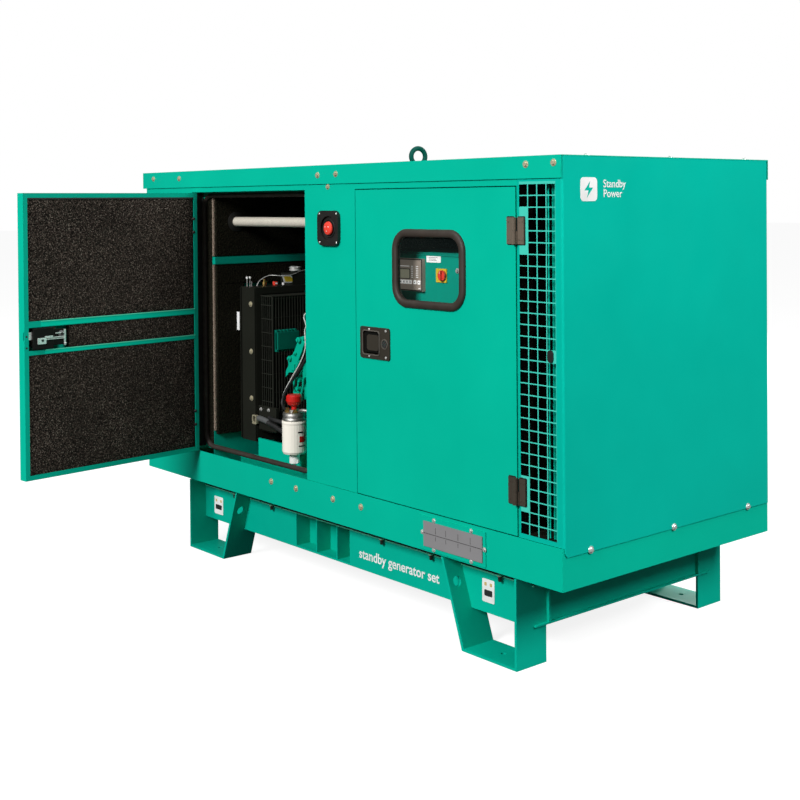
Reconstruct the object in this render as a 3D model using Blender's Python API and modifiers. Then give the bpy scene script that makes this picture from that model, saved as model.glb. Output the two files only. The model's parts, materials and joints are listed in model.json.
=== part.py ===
"""Enclosed diesel generator set on a base frame, with four hinged doors.

Enclosure coordinates: x runs along the length from the radiator end, y runs from the front
doors to the rear doors, and z = 0 is the underside of the base tray. One root empty moves
the whole set so that the middle of its footprint stands on the world origin.
"""
import math

import bmesh
import bpy
from mathutils import Matrix, Vector

# Overall sizes of the enclosure
LENGTH = 2.258
WIDTH = 0.943
HEIGHT = 1.170
GROUND = -0.262
ROOT_AT = (-1.129, -0.1170, 0.262)

# Sheet metal
SHEET = 0.003
GAP = 0.0005
FASCIA_BOTTOM = 1.108
SKIRT_TOP = 0.116
SKIRT_LEFT = 0.0235

# Doors
DOOR_BOTTOM = 0.1185
DOOR_TOP = 1.0865
DOOR_DEPTH = 0.036
DOOR_SHEET = 0.002
DOOR_LIP = 0.016
EDGE_GAP = 0.0025
HINGE_PROUD = 0.010
LEFT_AXIS = 0.370
RIGHT_AXIS = 2.086
LEFT_DOOR_WIDTH = 0.7215
RIGHT_DOOR_WIDTH = 0.7175
COLUMN_LEFT = 1.094
COLUMN_RIGHT = 1.366
REST_OPENING = 84.0
RAIL_ZS = ((0.5400, 0.5555), (0.6330, 0.6540))

# Hinges
HINGE_HEIGHT = 0.074
HINGE_LOW = 0.207
HINGE_HIGH = 0.928
KNUCKLE = 0.0075
PIN = 0.0030
BORE = 0.0037
LEAF_REACH = 0.033

# Latches
LATCH_Z = 0.605
LATCH_HEIGHT = 0.100
LATCH_WIDTH = 0.146
LATCH_EDGE = 0.024
TONGUE_THROW = 0.012

# Openings behind the doors
STOP_FRONT = 0.0475
STOP_BACK = 0.0505
SEAL_WIDTH = 0.016
LEFT_OPENING = (0.385, 1.062, 0.135, 1.069)
RIGHT_OPENING = (1.390, 2.069, 0.135, 1.069)
OPENING_RADIUS = 0.045

# Window in the right front door
WINDOW = (1.5795, 1.857, 0.750, 0.940)
WINDOW_BORDER = 0.0247
WINDOW_RADIUS = 0.040

# Ventilation grid at the right end of the front
VENT_LEFT = 2.0975
VENT_BOTTOM = 0.1298
VENT_PITCH_X = 0.0345
VENT_PITCH_Z = 0.0322
VENT_HOLE_X = 0.0310
VENT_HOLE_Z = 0.0290
VENT_SHEET = 0.0012
END_BOTTOM = 0.0915
CORNER_RADIUS = 0.007
VENT_COLUMNS = 4
VENT_ROWS = 30

# Base frame
RAIL_BOTTOM = -0.155
RAIL_TOP = -0.004
RAIL_FACE = 0.066
RAIL_PLATE = 0.006
RAIL_ENDS = (0.331, 2.077)
BAY_DEPTH = 0.058
BAY_WALLS = (0.937, 1.051, 1.166, 1.239)
LEG_STRAP = 0.008
LEG_WIDTH = 0.120

# Emergency stop and isolator: places along x and z
STOP_AT = (1.237, 0.963)
KNOB_AT = (1.6865, 0.822)

# Exhaust pipe
PIPE_Y = 0.150
PIPE_Z = 0.977
PIPE_RADIUS = 0.018

# Engine line
ENGINE_Y = 0.4715
CRANK_Z = 0.345
FAN_Z = 0.470
PULLEY_X = (0.735, 0.755)
CRANK_PULLEY = 0.060
FAN_PULLEY = 0.050
CHARGER_AT = (0.296, 0.560)
CHARGER_PULLEY = 0.034

for leftover in list(bpy.data.objects):
    bpy.data.objects.remove(leftover, do_unlink=True)

parts = bpy.data.collections.new("enclosed_generator_set")
cutters = bpy.data.collections.new("cutters")
bpy.context.scene.collection.children.link(parts)
bpy.context.scene.collection.children.link(cutters)


def material(name, colour, roughness, metallic=0.0):
    made = bpy.data.materials.new(name)
    made.use_nodes = True
    surface = made.node_tree.nodes["Principled BSDF"]
    surface.inputs["Base Color"].default_value = (*colour, 1.0)
    surface.inputs["Roughness"].default_value = roughness
    surface.inputs["Metallic"].default_value = metallic
    return made


TEAL = (0.002, 0.470, 0.330)
BLACK = (0.012, 0.012, 0.013)
BROWN_BLACK = (0.022, 0.018, 0.015)
ENGINE_GREEN = (0.004, 0.260, 0.170)


def empty(name, at, parent=None):
    """A named axis: its children are modelled at absolute enclosure coordinates."""
    made = bpy.data.objects.new(name, None)
    made.empty_display_size = 0.05
    parts.objects.link(made)
    made.parent = parent
    made["at"] = at
    start = Vector(parent["at"]) if parent else Vector((0, 0, 0))
    made.location = Vector(at) - start
    return made


root = empty("enclosure_frame", (0.0, 0.0, 0.0))
root.location = ROOT_AT


def helper(mesh, home):
    """A shape in the cutters collection until finish() makes it a part."""
    made = bpy.data.objects.new("shape", mesh)
    made.parent = home or root
    made.hide_render = True
    made.display_type = "WIRE"
    cutters.objects.link(made)
    return made


def local(point, home):
    return Vector(point) - Vector((home or root)["at"])


def box(low, high, home=None):
    """A cuboid between two opposite corners, given in either order."""
    a = local([min(pair) for pair in zip(low, high)], home)
    b = local([max(pair) for pair in zip(low, high)], home)
    shape = bmesh.new()
    bmesh.ops.create_cube(shape, size=1.0)
    bmesh.ops.scale(shape, vec=b - a, verts=shape.verts)
    bmesh.ops.translate(shape, vec=(a + b) / 2, verts=shape.verts)
    mesh = bpy.data.meshes.new("box")
    shape.to_mesh(mesh)
    shape.free()
    return helper(mesh, home)


def rod(start, end, radius, segments=24, home=None, end_radius=None):
    """A cylinder, or a cone with end_radius, from one point to another."""
    a = local(start, home)
    b = local(end, home)
    turn = (b - a).to_track_quat("Z", "X").to_matrix().to_4x4()
    shape = bmesh.new()
    bmesh.ops.create_cone(
        shape,
        cap_ends=True,
        segments=segments,
        radius1=radius,
        radius2=radius if end_radius is None else end_radius,
        depth=(b - a).length,
        matrix=Matrix.Translation((a + b) / 2) @ turn,
    )
    mesh = bpy.data.meshes.new("rod")
    shape.to_mesh(mesh)
    shape.free()
    mesh.shade_smooth()
    mesh.set_sharp_from_angle(angle=math.radians(40))
    return helper(mesh, home)


def turned(profile, at, direction, steps=24, home=None):
    """A profile of (radius, height) pairs from top to bottom, turned about a line."""
    mesh = bpy.data.meshes.new("turned")
    points = [(radius, 0.0, height) for radius, height in profile]
    closed = profile[0] == profile[-1]
    if closed:
        points.pop()
    edges = [(index, index + 1) for index in range(len(points) - 1)]
    if closed:
        edges.append((len(points) - 1, 0))
    mesh.from_pydata(points, edges, [])
    made = helper(mesh, home)
    made.location = local(at, home)
    made.rotation_mode = "QUATERNION"
    made.rotation_quaternion = Vector(direction).to_track_quat("Z", "X")
    screw = made.modifiers.new("turn", "SCREW")
    screw.axis = "Z"
    screw.steps = steps
    screw.render_steps = steps
    screw.use_merge_vertices = True
    screw.merge_threshold = 0.0001
    screw.use_smooth_shade = False
    return made


def to_mesh(curve_object, home):
    """The closed mesh of a curve object, which the curve is then removed for."""
    bpy.context.view_layer.update()
    graph = bpy.context.evaluated_depsgraph_get()
    mesh = bpy.data.meshes.new_from_object(curve_object.evaluated_get(graph))
    matrix = curve_object.matrix_local.copy()
    bpy.data.objects.remove(curve_object, do_unlink=True)
    shape = bmesh.new()
    shape.from_mesh(mesh)
    bmesh.ops.remove_doubles(shape, verts=shape.verts, dist=0.00001)
    bmesh.ops.recalc_face_normals(shape, faces=shape.faces)
    shape.to_mesh(mesh)
    shape.free()
    made = helper(mesh, home)
    made.matrix_local = matrix
    return made


def plate(outlines, axis, start, end, home=None):
    """Flat outlines, given as (u, v) points, as thick as start to end along one axis.

    For axis "x" u, v are y, z; for "y" they are x, z; for "z" they are x, y.
    """
    columns = {"x": ((0, 1, 0), (0, 0, 1)), "y": ((1, 0, 0), (0, 0, 1)), "z": ((1, 0, 0), (0, 1, 0))}
    u = Vector(columns[axis][0])
    v = Vector(columns[axis][1])
    w = u.cross(v)
    curve = bpy.data.curves.new("plate", "CURVE")
    curve.dimensions = "2D"
    curve.fill_mode = "BOTH"
    curve.extrude = abs(end - start) / 2
    for outline in outlines:
        spline = curve.splines.new("POLY")
        spline.points.add(len(outline) - 1)
        for point, (along, up) in zip(spline.points, outline):
            point.co = (along, up, 0.0, 1.0)
        spline.use_cyclic_u = True
    made = bpy.data.objects.new("plate", curve)
    cutters.objects.link(made)
    made.parent = home or root
    middle = Vector("xyz".index(axis) == index for index in range(3)) * ((start + end) / 2)
    turn = Matrix((u, v, w)).transposed().to_4x4()
    made.matrix_local = Matrix.Translation(local(middle, home)) @ turn
    return to_mesh(made, home)


def rounded(x0, x1, z0, z1, radius, steps=4):
    """The outline of a rectangle with round corners."""
    points = []
    corners = ((x1, z0, -90), (x1, z1, 0), (x0, z1, 90), (x0, z0, 180))
    for corner_x, corner_z, first in corners:
        centre_x = corner_x - math.copysign(radius, corner_x - (x0 + x1) / 2)
        centre_z = corner_z - math.copysign(radius, corner_z - (z0 + z1) / 2)
        for step in range(steps + 1):
            angle = math.radians(first + 90 * step / steps)
            along = centre_x + radius * math.cos(angle)
            points.append((along, centre_z + radius * math.sin(angle)))
    return points


def grown(rectangle, by):
    x0, x1, z0, z1 = rectangle
    return (x0 - by, x1 + by, z0 - by, z1 + by)


def finish(name, base, look, add=(), cut=()):
    """The base shape becomes a part: other shapes are joined to it, then cutters cut it."""
    base.name = name
    base.hide_render = False
    base.display_type = "TEXTURED"
    base.data.materials.clear()
    base.data.materials.append(look)
    cutters.objects.unlink(base)
    parts.objects.link(base)
    for operation, shapes in (("UNION", add), ("DIFFERENCE", cut)):
        for shape in shapes:
            joined = base.modifiers.new(operation.lower(), "BOOLEAN")
            joined.operation = operation
            joined.solver = "EXACT"
            joined.object = shape
            shape.name = name + "_" + operation.lower()
    return base


# ---------------------------------------------------------------- base frame and tray
frame_paint = material("base_frame_paint", TEAL, 0.38)
front_rail = box((RAIL_ENDS[0], RAIL_FACE, RAIL_BOTTOM), (RAIL_ENDS[1], RAIL_FACE + 0.064, RAIL_TOP))
frame_adds = []
frame_cuts = []
# Each long rail is a channel that opens inwards, with three bays let into its face.
rear_rail = box(
    (RAIL_ENDS[0], WIDTH - RAIL_FACE, RAIL_BOTTOM),
    (RAIL_ENDS[1], WIDTH - RAIL_FACE - 0.064, RAIL_TOP),
)
frame_adds.append(rear_rail)
for face, inward in ((RAIL_FACE, 1), (WIDTH - RAIL_FACE, -1)):
    for start, end in (
        (RAIL_ENDS[0] + 0.008, BAY_WALLS[0] - RAIL_PLATE),
        (BAY_WALLS[3] + RAIL_PLATE, RAIL_ENDS[1] - 0.008),
    ):
        frame_cuts.append(
            box(
                (start, face + inward * RAIL_PLATE, RAIL_BOTTOM + RAIL_PLATE),
                (end, face + inward * 0.070, RAIL_TOP - RAIL_PLATE),
            )
        )
    for left, right in zip(BAY_WALLS, BAY_WALLS[1:]):
        wall = 0.0 if left == BAY_WALLS[0] else RAIL_PLATE
        frame_cuts.append(
            box(
                (left + wall, face - inward * 0.01, RAIL_BOTTOM + RAIL_PLATE),
                (right, face + inward * BAY_DEPTH, RAIL_TOP - RAIL_PLATE),
            )
        )
# The end members are channels that open inwards, with narrow lips outside and at both ends.
for x, outward in ((RAIL_ENDS[0] + 0.002, -1), (RAIL_ENDS[1] - 0.002, 1)):
    inner = x - outward * 0.048
    web = x - outward * 0.006
    lip = x + outward * 0.012
    outline = [
        (inner, RAIL_BOTTOM + 0.003),
        (lip, RAIL_BOTTOM + 0.003),
        (lip, RAIL_BOTTOM + 0.008),
        (x, RAIL_BOTTOM + 0.008),
        (x, RAIL_TOP - 0.006),
        (lip, RAIL_TOP - 0.006),
        (lip, RAIL_TOP),
        (inner, RAIL_TOP),
        (inner, RAIL_TOP - 0.006),
        (web, RAIL_TOP - 0.006),
        (web, RAIL_BOTTOM + 0.008),
        (inner, RAIL_BOTTOM + 0.008),
    ]
    frame_adds.append(plate([outline], "y", RAIL_FACE + 0.003, WIDTH - RAIL_FACE - 0.003))
    for near in (LEG_WIDTH + 0.0015, WIDTH - LEG_WIDTH - 0.0105):
        frame_adds.append(box((web, near, RAIL_BOTTOM + 0.003), (lip, near + 0.009, RAIL_TOP)))
# Legs are bent straps: an upright, a foot and a slanted strap.
LEGS = ((0.331, 0.567, 0.660), (2.077, 1.853, 1.765))
for upright, toe, slant_top in LEGS:
    inside = 1 if toe > upright else -1
    outline = [
        (upright, RAIL_TOP),
        (upright, GROUND),
        (toe, GROUND),
        (slant_top, RAIL_TOP),
        (slant_top - inside * 0.0085, RAIL_TOP),
        (toe - inside * 0.0085, GROUND + LEG_STRAP),
        (upright + inside * LEG_STRAP, GROUND + LEG_STRAP),
        (upright + inside * LEG_STRAP, RAIL_TOP),
    ]
    for near, far in ((0.0, LEG_WIDTH), (WIDTH - LEG_WIDTH, WIDTH)):
        frame_adds.append(plate([outline], "y", near, far))
        hole_x = toe + (slant_top - toe) * 0.72
        hole_z = GROUND + (RAIL_TOP - GROUND) * 0.72
        hole_y = near + 0.033 if near == 0.0 else far - 0.033
        frame_cuts.append(rod((hole_x - 0.03, hole_y, hole_z), (hole_x + 0.03, hole_y, hole_z), 0.015, 12))
        foot_x = (upright + toe) / 2
        foot_y = (near + far) / 2
        frame_cuts.append(rod((foot_x, foot_y, GROUND - 0.01), (foot_x, foot_y, GROUND + 0.02), 0.008, 12))
finish("base_frame", front_rail, frame_paint, frame_adds, frame_cuts)

tray_paint = material("base_tray_paint", TEAL, 0.36)
tray = box((SKIRT_LEFT + GAP, -SHEET, 0.0), (LENGTH - SHEET - GAP, WIDTH + SHEET, SKIRT_TOP))
tray_hollow = box((SKIRT_LEFT + 0.0035, 0.0, 0.003), (LENGTH - 0.0065, WIDTH, SKIRT_TOP + 0.01))
# Engine skid rails stand on the tray floor and carry the engine feet.
skid_front = box((0.455, 0.150, 0.001), (1.900, 0.215, 0.080))
skid_rear = box((0.455, 0.728, 0.001), (1.900, 0.793, 0.080))
skid_wall = box((0.578, 0.150, 0.001), (1.900, 0.158, 0.167))
tray_pad = box((1.673, -0.0065, 0.005), (1.962, -0.001, 0.106))
drain_opening = box((0.75, 0.30, -0.01), (1.15, 0.64, 0.01))
skid_hollows = [
    box((0.44, 0.158, 0.008), (1.92, 0.210, 0.075)),
    box((0.44, 0.733, 0.008), (1.92, 0.788, 0.075)),
]
# The hollow is cut first, so that the rails and the pad are joined to the finished shell.
tray_shell = finish("base_tray", tray, tray_paint, cut=[tray_hollow])
tray_steps = [("UNION", shape) for shape in (skid_front, skid_rear, skid_wall, tray_pad)]
tray_steps += [("DIFFERENCE", shape) for shape in (drain_opening, *skid_hollows)]
for operation, shape in tray_steps:
    modifier = tray_shell.modifiers.new(operation.lower(), "BOOLEAN")
    modifier.operation = operation
    modifier.solver = "EXACT"
    modifier.object = shape

gland_look = material("gland_plate_coat", (0.150, 0.150, 0.135), 0.55, 0.3)
gland = box((1.698, -0.0100, 0.017), (1.951, -0.0070, 0.092))
finish("gland_plate", gland, gland_look)

tank_look = material("tank_paint", TEAL, 0.45)
tank = box((0.700, 0.140, -0.145), (1.700, 0.803, -0.0045))
tank_edges = tank.modifiers.new("edges", "BEVEL")
tank_edges.width = 0.005
tank_edges.segments = 1
tank_hollow = box((0.704, 0.144, -0.141), (1.696, 0.799, -0.0085))
filler = rod((1.620, 0.220, -0.02), (1.620, 0.220, 0.01), 0.025, 16)
finish("fuel_tank", tank, tank_look, cut=[tank_hollow, filler])

# ---------------------------------------------------------------- canopy
canopy_paint = material("canopy_paint", TEAL, 0.34)
roof = box((0.0, -0.0045, FASCIA_BOTTOM), (LENGTH, WIDTH + 0.008, HEIGHT))
roof_cuts = [
    box((-0.01, -0.0015, FASCIA_BOTTOM - 0.01), (LENGTH + 0.01, WIDTH + 0.005, HEIGHT - SHEET)),
    rod((1.133, ENGINE_Y, HEIGHT - 0.02), (1.133, ENGINE_Y, HEIGHT + 0.02), 0.014, 16),
]
finish("roof", roof, canopy_paint, cut=roof_cuts)

left_end_look = material("left_end_paint", TEAL, 0.36)
left_end = box((SKIRT_LEFT - SHEET, 0.0, 0.080), (SKIRT_LEFT, WIDTH, HEIGHT - SHEET - GAP))
left_cuts = [
    box((0.0, 0.170, 0.200 + 0.045 * row), (0.04, 0.773, 0.200 + 0.045 * row + 0.020))
    for row in range(12)
]
left_cuts.append(rod((0.0, ENGINE_Y, 0.930), (0.04, ENGINE_Y, 0.930), 0.033, 20))
finish("left_end_panel", left_end, left_end_look, cut=left_cuts)

right_end_look = material("right_end_paint", TEAL, 0.36)
right_end = box((LENGTH - SHEET, 0.0, END_BOTTOM), (LENGTH, WIDTH, HEIGHT - SHEET - GAP))
right_return = box(
    (RIGHT_AXIS + EDGE_GAP + 0.0035, 0.0, SKIRT_TOP + 0.001),
    (LENGTH - 0.001, SHEET, 1.1065),
)
vent_holes = []


def blank(column, row):
    """Cells left closed: beside the two hinges, and the one that holds the plug."""
    if column == 0:
        return row in (2, 3, 4, 24, 25, 26, 27)
    return column == 3 and row == 15


for column in range(VENT_COLUMNS):
    for row in range(VENT_ROWS):
        if blank(column, row):
            continue
        x = VENT_LEFT + VENT_PITCH_X * column
        z = VENT_BOTTOM + VENT_PITCH_Z * row
        vent_holes.append(box((x, -0.01, z), (x + VENT_HOLE_X, 0.01, z + VENT_HOLE_Z)))
all_holes = vent_holes[0]
hole_mesh = bmesh.new()
for hole in vent_holes:
    hole_mesh.from_mesh(hole.data)
hole_mesh.to_mesh(all_holes.data)
hole_mesh.free()
for hole in vent_holes[1:]:
    bpy.data.objects.remove(hole, do_unlink=True)
# The grid is thinner than the sheet round it, and the corner is folded, with a relief at its foot.
thinning = box((VENT_LEFT - 0.002, VENT_SHEET, 0.127), (2.2340, 0.01, 1.100))
fold = [(LENGTH + 0.01, CORNER_RADIUS), (LENGTH, CORNER_RADIUS)]
for step in range(1, 6):
    angle = math.radians(15 * step)
    out_x = CORNER_RADIUS * (1 - math.cos(angle))
    out_y = CORNER_RADIUS * (1 - math.sin(angle))
    fold.append((LENGTH - out_x, out_y))
fold += [(LENGTH - CORNER_RADIUS, 0.0), (LENGTH - CORNER_RADIUS, -0.01), (LENGTH + 0.01, -0.01)]
fold_cut = plate([fold], "z", 0.0, HEIGHT + 0.02)
relief_outline = [
    (-0.01, 0.080),
    (0.0150, 0.080),
    (0.0140, 0.0915),
    (0.0085, 0.0970),
    (0.0045, 0.1050),
    (0.0035, 0.1165),
    (-0.01, 0.1165),
]
relief = plate([relief_outline], "x", LENGTH - 0.01, LENGTH + 0.01)
finish("right_end_panel", right_end, right_end_look, [right_return], [all_holes, thinning, fold_cut, relief])

# The front frame carries the fixed skins, the pocket walls and the stop flange of both doors.
front_look = material("front_frame_paint", TEAL, 0.34)


def stop_frame(face, inward):
    """The backing sheet with its two openings, and the shapes joined to it."""
    backing = plate(
        [
            [(0.3645, 0.1185), (2.0925, 0.1185), (2.0925, 1.1065), (0.3645, 1.1065)],
            rounded(*LEFT_OPENING, OPENING_RADIUS),
            rounded(*RIGHT_OPENING, OPENING_RADIUS),
        ],
        "y",
        face + inward * STOP_FRONT,
        face + inward * STOP_BACK,
    )
    skin = (face, face + inward * SHEET)
    adds = []
    for x0, x1 in ((SKIRT_LEFT + GAP, LEFT_AXIS - EDGE_GAP), (COLUMN_LEFT, COLUMN_RIGHT)):
        adds.append(box((x0, skin[0], 0.117), (x1, skin[1], 1.1065)))
    adds.append(box((0.2, skin[0], 1.0895), (2.0915, skin[1], 1.1065)))
    walls = (LEFT_AXIS - EDGE_GAP - 0.003, COLUMN_LEFT, COLUMN_RIGHT - 0.003)
    for x in (*walls, RIGHT_AXIS + EDGE_GAP):
        adds.append(box((x, face, 0.117), (x + 0.003, face + inward * (STOP_BACK - 0.001), 1.1065)))
    adds.append(box((0.366, face + inward * 0.001, 1.0895), (2.090, face + inward * STOP_BACK, 1.0925)))
    return backing, adds


front, front_adds = stop_frame(0.0, 1)
button_hole = rod((STOP_AT[0], -0.01, STOP_AT[1]), (STOP_AT[0], 0.02, STOP_AT[1]), 0.020, 16)
finish("front_frame", front, front_look, front_adds, [button_hole])

# ---------------------------------------------------------------- hinges


def leaf_shapes(axis_x, face, inward, toward, low, own_low, own_high, home=None):
    """The two boxes of a leaf: the screwed flap, and the tab under its own knuckle."""
    top = low + HINGE_HEIGHT
    outer = face - inward * 0.0045
    inner = face - inward * GAP
    flap = box((axis_x + toward * 0.0085, outer, low), (axis_x + toward * LEAF_REACH, inner, top), home)
    tab = box((axis_x, face - inward * 0.0065, own_low), (axis_x + toward * 0.0100, inner, own_high), home)
    return flap, tab


def hinge(axis_x, face, inward, side, low, home, sink=0.0):
    """The frame leaf with the pin and lower knuckle, and the door leaf with the upper one."""
    axis_y = face - inward * HINGE_PROUD
    middle = low + HINGE_HEIGHT / 2
    top = low + HINGE_HEIGHT
    flap, tab = leaf_shapes(axis_x, face + inward * sink, inward, -side, low, low, middle - 0.0004)
    knuckle = rod((axis_x, axis_y, low), (axis_x, axis_y, middle - 0.0004), KNUCKLE, 20)
    pin = rod((axis_x, axis_y, low + 0.002), (axis_x, axis_y, top - 0.0005), PIN, 20)
    frame_leaf = [flap, tab, knuckle, pin]
    sunk = face + inward * sink
    flap, tab = leaf_shapes(axis_x, sunk, inward, side, low, middle + 0.0004, top, home)
    knuckle = rod((axis_x, axis_y, middle + 0.0004), (axis_x, axis_y, top), KNUCKLE, 20, home)
    bore = rod((axis_x, axis_y, middle - 0.01), (axis_x, axis_y, top + 0.01), BORE, 20, home)
    return frame_leaf, [flap, tab, knuckle], bore


left_swing = empty("left_door_axis", (LEFT_AXIS, -HINGE_PROUD, 0.0), root)
left_swing.rotation_euler = (0.0, 0.0, -math.radians(REST_OPENING))
right_swing = empty("right_door_axis", (RIGHT_AXIS, -HINGE_PROUD, 0.0), root)
rear_left_swing = empty("rear_left_door_axis", (LEFT_AXIS, WIDTH + HINGE_PROUD, 0.0), root)
rear_right_swing = empty("rear_right_door_axis", (RIGHT_AXIS, WIDTH + HINGE_PROUD, 0.0), root)
hinge_look = material("hinge_coat", (0.030, 0.026, 0.023), 0.48, 0.2)
for door_name, axis_x, side, home in (
    ("left", LEFT_AXIS, 1, left_swing),
    ("right", RIGHT_AXIS, -1, right_swing),
):
    for level, low in (("lower", HINGE_LOW), ("upper", HINGE_HIGH)):
        frame_leaf, door_leaf, bore = hinge(axis_x, 0.0, 1, side, low, home)
        finish(f"{door_name}_{level}_hinge_frame_leaf", frame_leaf[0], hinge_look, frame_leaf[1:])
        finish(f"{door_name}_{level}_hinge_door_leaf", door_leaf[0], hinge_look, door_leaf[1:], [bore])

# ---------------------------------------------------------------- doors
door_look = material("door_paint", TEAL, 0.33)
rear_door_look = material("rear_door_paint", TEAL, 0.36)
foam_look = material("acoustic_foam", BROWN_BLACK, 0.95)
latch_look = material("latch_coat", BLACK, 0.42)
steel_look = material("latch_steel", (0.55, 0.55, 0.55), 0.32, 1.0)


def door_shapes(axis_x, side, width, face, inward, home):
    """The closed door: a folded tray with an inner frame of lips and two stiffener rails."""
    hinge_edge = axis_x + side * EDGE_GAP
    free_edge = axis_x + side * width
    outer = box(
        (hinge_edge, face, DOOR_BOTTOM),
        (free_edge, face + inward * DOOR_DEPTH, DOOR_TOP),
        home,
    )
    cavity = box(
        (hinge_edge + side * DOOR_SHEET, face + inward * DOOR_SHEET, DOOR_BOTTOM + DOOR_SHEET),
        (free_edge - side * DOOR_SHEET, face + inward * (DOOR_DEPTH - 0.002), DOOR_TOP - DOOR_SHEET),
        home,
    )
    cuts = [cavity]
    bays = (
        (DOOR_BOTTOM + DOOR_LIP, RAIL_ZS[0][0]),
        (RAIL_ZS[0][1], RAIL_ZS[1][0]),
        (RAIL_ZS[1][1], DOOR_TOP - DOOR_LIP),
    )
    for low, high in bays:
        cuts.append(
            box(
                (hinge_edge + side * DOOR_LIP, face + inward * (DOOR_DEPTH - 0.005), low),
                (free_edge - side * DOOR_LIP, face + inward * (DOOR_DEPTH + 0.01), high),
                home,
            )
        )
    return outer, cuts


def foam_slab(axis_x, side, width, home, cuts, name):
    slab = box(
        (axis_x + side * (EDGE_GAP + DOOR_SHEET + GAP), DOOR_SHEET + GAP, DOOR_BOTTOM + DOOR_SHEET + GAP),
        (axis_x + side * (width - DOOR_SHEET - GAP), DOOR_DEPTH - 0.0025, DOOR_TOP - DOOR_SHEET - GAP),
        home,
    )
    return finish(name, slab, foam_look, cut=cuts)


def latch(prefix, free_edge, side, home):
    """Housing, paddle, key and tongue. Side points from the hinges to the free edge."""
    edge_side = free_edge - side * LATCH_EDGE
    far_side = edge_side - side * LATCH_WIDTH
    bottom = LATCH_Z - LATCH_HEIGHT / 2
    top = LATCH_Z + LATCH_HEIGHT / 2
    pan_edge = edge_side - side * 0.014
    pan_far = edge_side - side * 0.098
    flange = plate(
        [rounded(min(edge_side, far_side), max(edge_side, far_side), bottom, top, 0.008, 2)],
        "y",
        -0.0040,
        -GAP,
        home,
    )
    pan = box((pan_edge, -0.001, LATCH_Z - 0.038), (pan_far, 0.0275, LATCH_Z + 0.038), home)
    recess = box(
        (pan_edge - side * 0.002, -0.01, LATCH_Z - 0.036),
        (pan_far + side * 0.002, 0.0255, LATCH_Z + 0.036),
        home,
    )
    key_x = edge_side - side * 0.122
    barrel = rod((key_x, -0.001, LATCH_Z), (key_x, 0.024, LATCH_Z), 0.0145, 16, home)
    key_bore = rod((key_x, -0.01, LATCH_Z), (key_x, 0.020, LATCH_Z), 0.0112, 20, home)
    finish(prefix + "_latch_housing", flange, latch_look, [pan, barrel], [recess, key_bore])
    paddle_x = pan_edge - side * 0.0075
    paddle_axis = empty(prefix + "_paddle_axis", (paddle_x, 0.004, LATCH_Z), home)
    knuckle_ends = [(paddle_x, 0.004, LATCH_Z + step) for step in (-0.033, 0.033)]
    knuckle = rod(*knuckle_ends, 0.0042, 12, paddle_axis)
    blade = box(
        (paddle_x, 0.0015, LATCH_Z - 0.031),
        (pan_far + side * 0.0060, 0.0045, LATCH_Z + 0.031),
        paddle_axis,
    )
    finish(prefix + "_latch_paddle", blade, latch_look, [knuckle])
    key_axis = empty(prefix + "_key_axis", (key_x, 0.0, LATCH_Z), home)
    key = rod((key_x, -0.0065, LATCH_Z), (key_x, 0.0190, LATCH_Z), 0.0105, 20, key_axis)
    slot = box((key_x - 0.0012, -0.01, LATCH_Z - 0.005), (key_x + 0.0012, -0.004, LATCH_Z + 0.005), key_axis)
    finish(prefix + "_latch_key", key, steel_look, cut=[slot])
    tongue = box(
        (free_edge - side * 0.0046, 0.0288, LATCH_Z - 0.013),
        (free_edge - side * 0.0700, 0.0325, LATCH_Z + 0.013),
        home,
    )
    finish(prefix + "_latch_tongue", tongue, steel_look)
    tongue_slot = box(
        (free_edge + side * 0.01, 0.0283, LATCH_Z - 0.0138),
        (free_edge - side * 0.004, 0.0332, LATCH_Z + 0.0138),
        home,
    )
    pan_hole = box(
        (pan_edge + side * 0.001, -0.01, LATCH_Z - 0.039),
        (pan_far - side * 0.001, 0.01, LATCH_Z + 0.039),
        home,
    )
    barrel_hole = rod((key_x, -0.01, LATCH_Z), (key_x, 0.01, LATCH_Z), 0.0155, 16, home)
    foam_room = box(
        (free_edge + side * 0.01, -0.01, LATCH_Z - 0.044),
        (far_side - side * 0.004, 0.05, LATCH_Z + 0.044),
        home,
    )
    return [pan_hole, barrel_hole, tongue_slot], foam_room


left_free = LEFT_AXIS + LEFT_DOOR_WIDTH
skin_cuts, foam_room = latch("left", left_free, 1, left_swing)
outer, cuts = door_shapes(LEFT_AXIS, 1, LEFT_DOOR_WIDTH, 0.0, 1, left_swing)
finish("left_door", outer, door_look, cut=cuts + skin_cuts)
foam_slab(LEFT_AXIS, 1, LEFT_DOOR_WIDTH, left_swing, [foam_room], "left_door_foam")

right_free = RIGHT_AXIS - RIGHT_DOOR_WIDTH
skin_cuts, foam_room = latch("right", right_free, -1, right_swing)
outer, cuts = door_shapes(RIGHT_AXIS, -1, RIGHT_DOOR_WIDTH, 0.0, 1, right_swing)
window_cut = plate([rounded(*grown(WINDOW, 0.008), WINDOW_RADIUS + 0.008)], "y", -0.01, 0.05, right_swing)
finish("right_door", outer, door_look, cut=cuts + skin_cuts + [window_cut])
window_room = plate([rounded(*grown(WINDOW, 0.016), WINDOW_RADIUS + 0.016)], "y", -0.01, 0.05, right_swing)
foam_slab(RIGHT_AXIS, -1, RIGHT_DOOR_WIDTH, right_swing, [foam_room, window_room], "right_door_foam")

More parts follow.
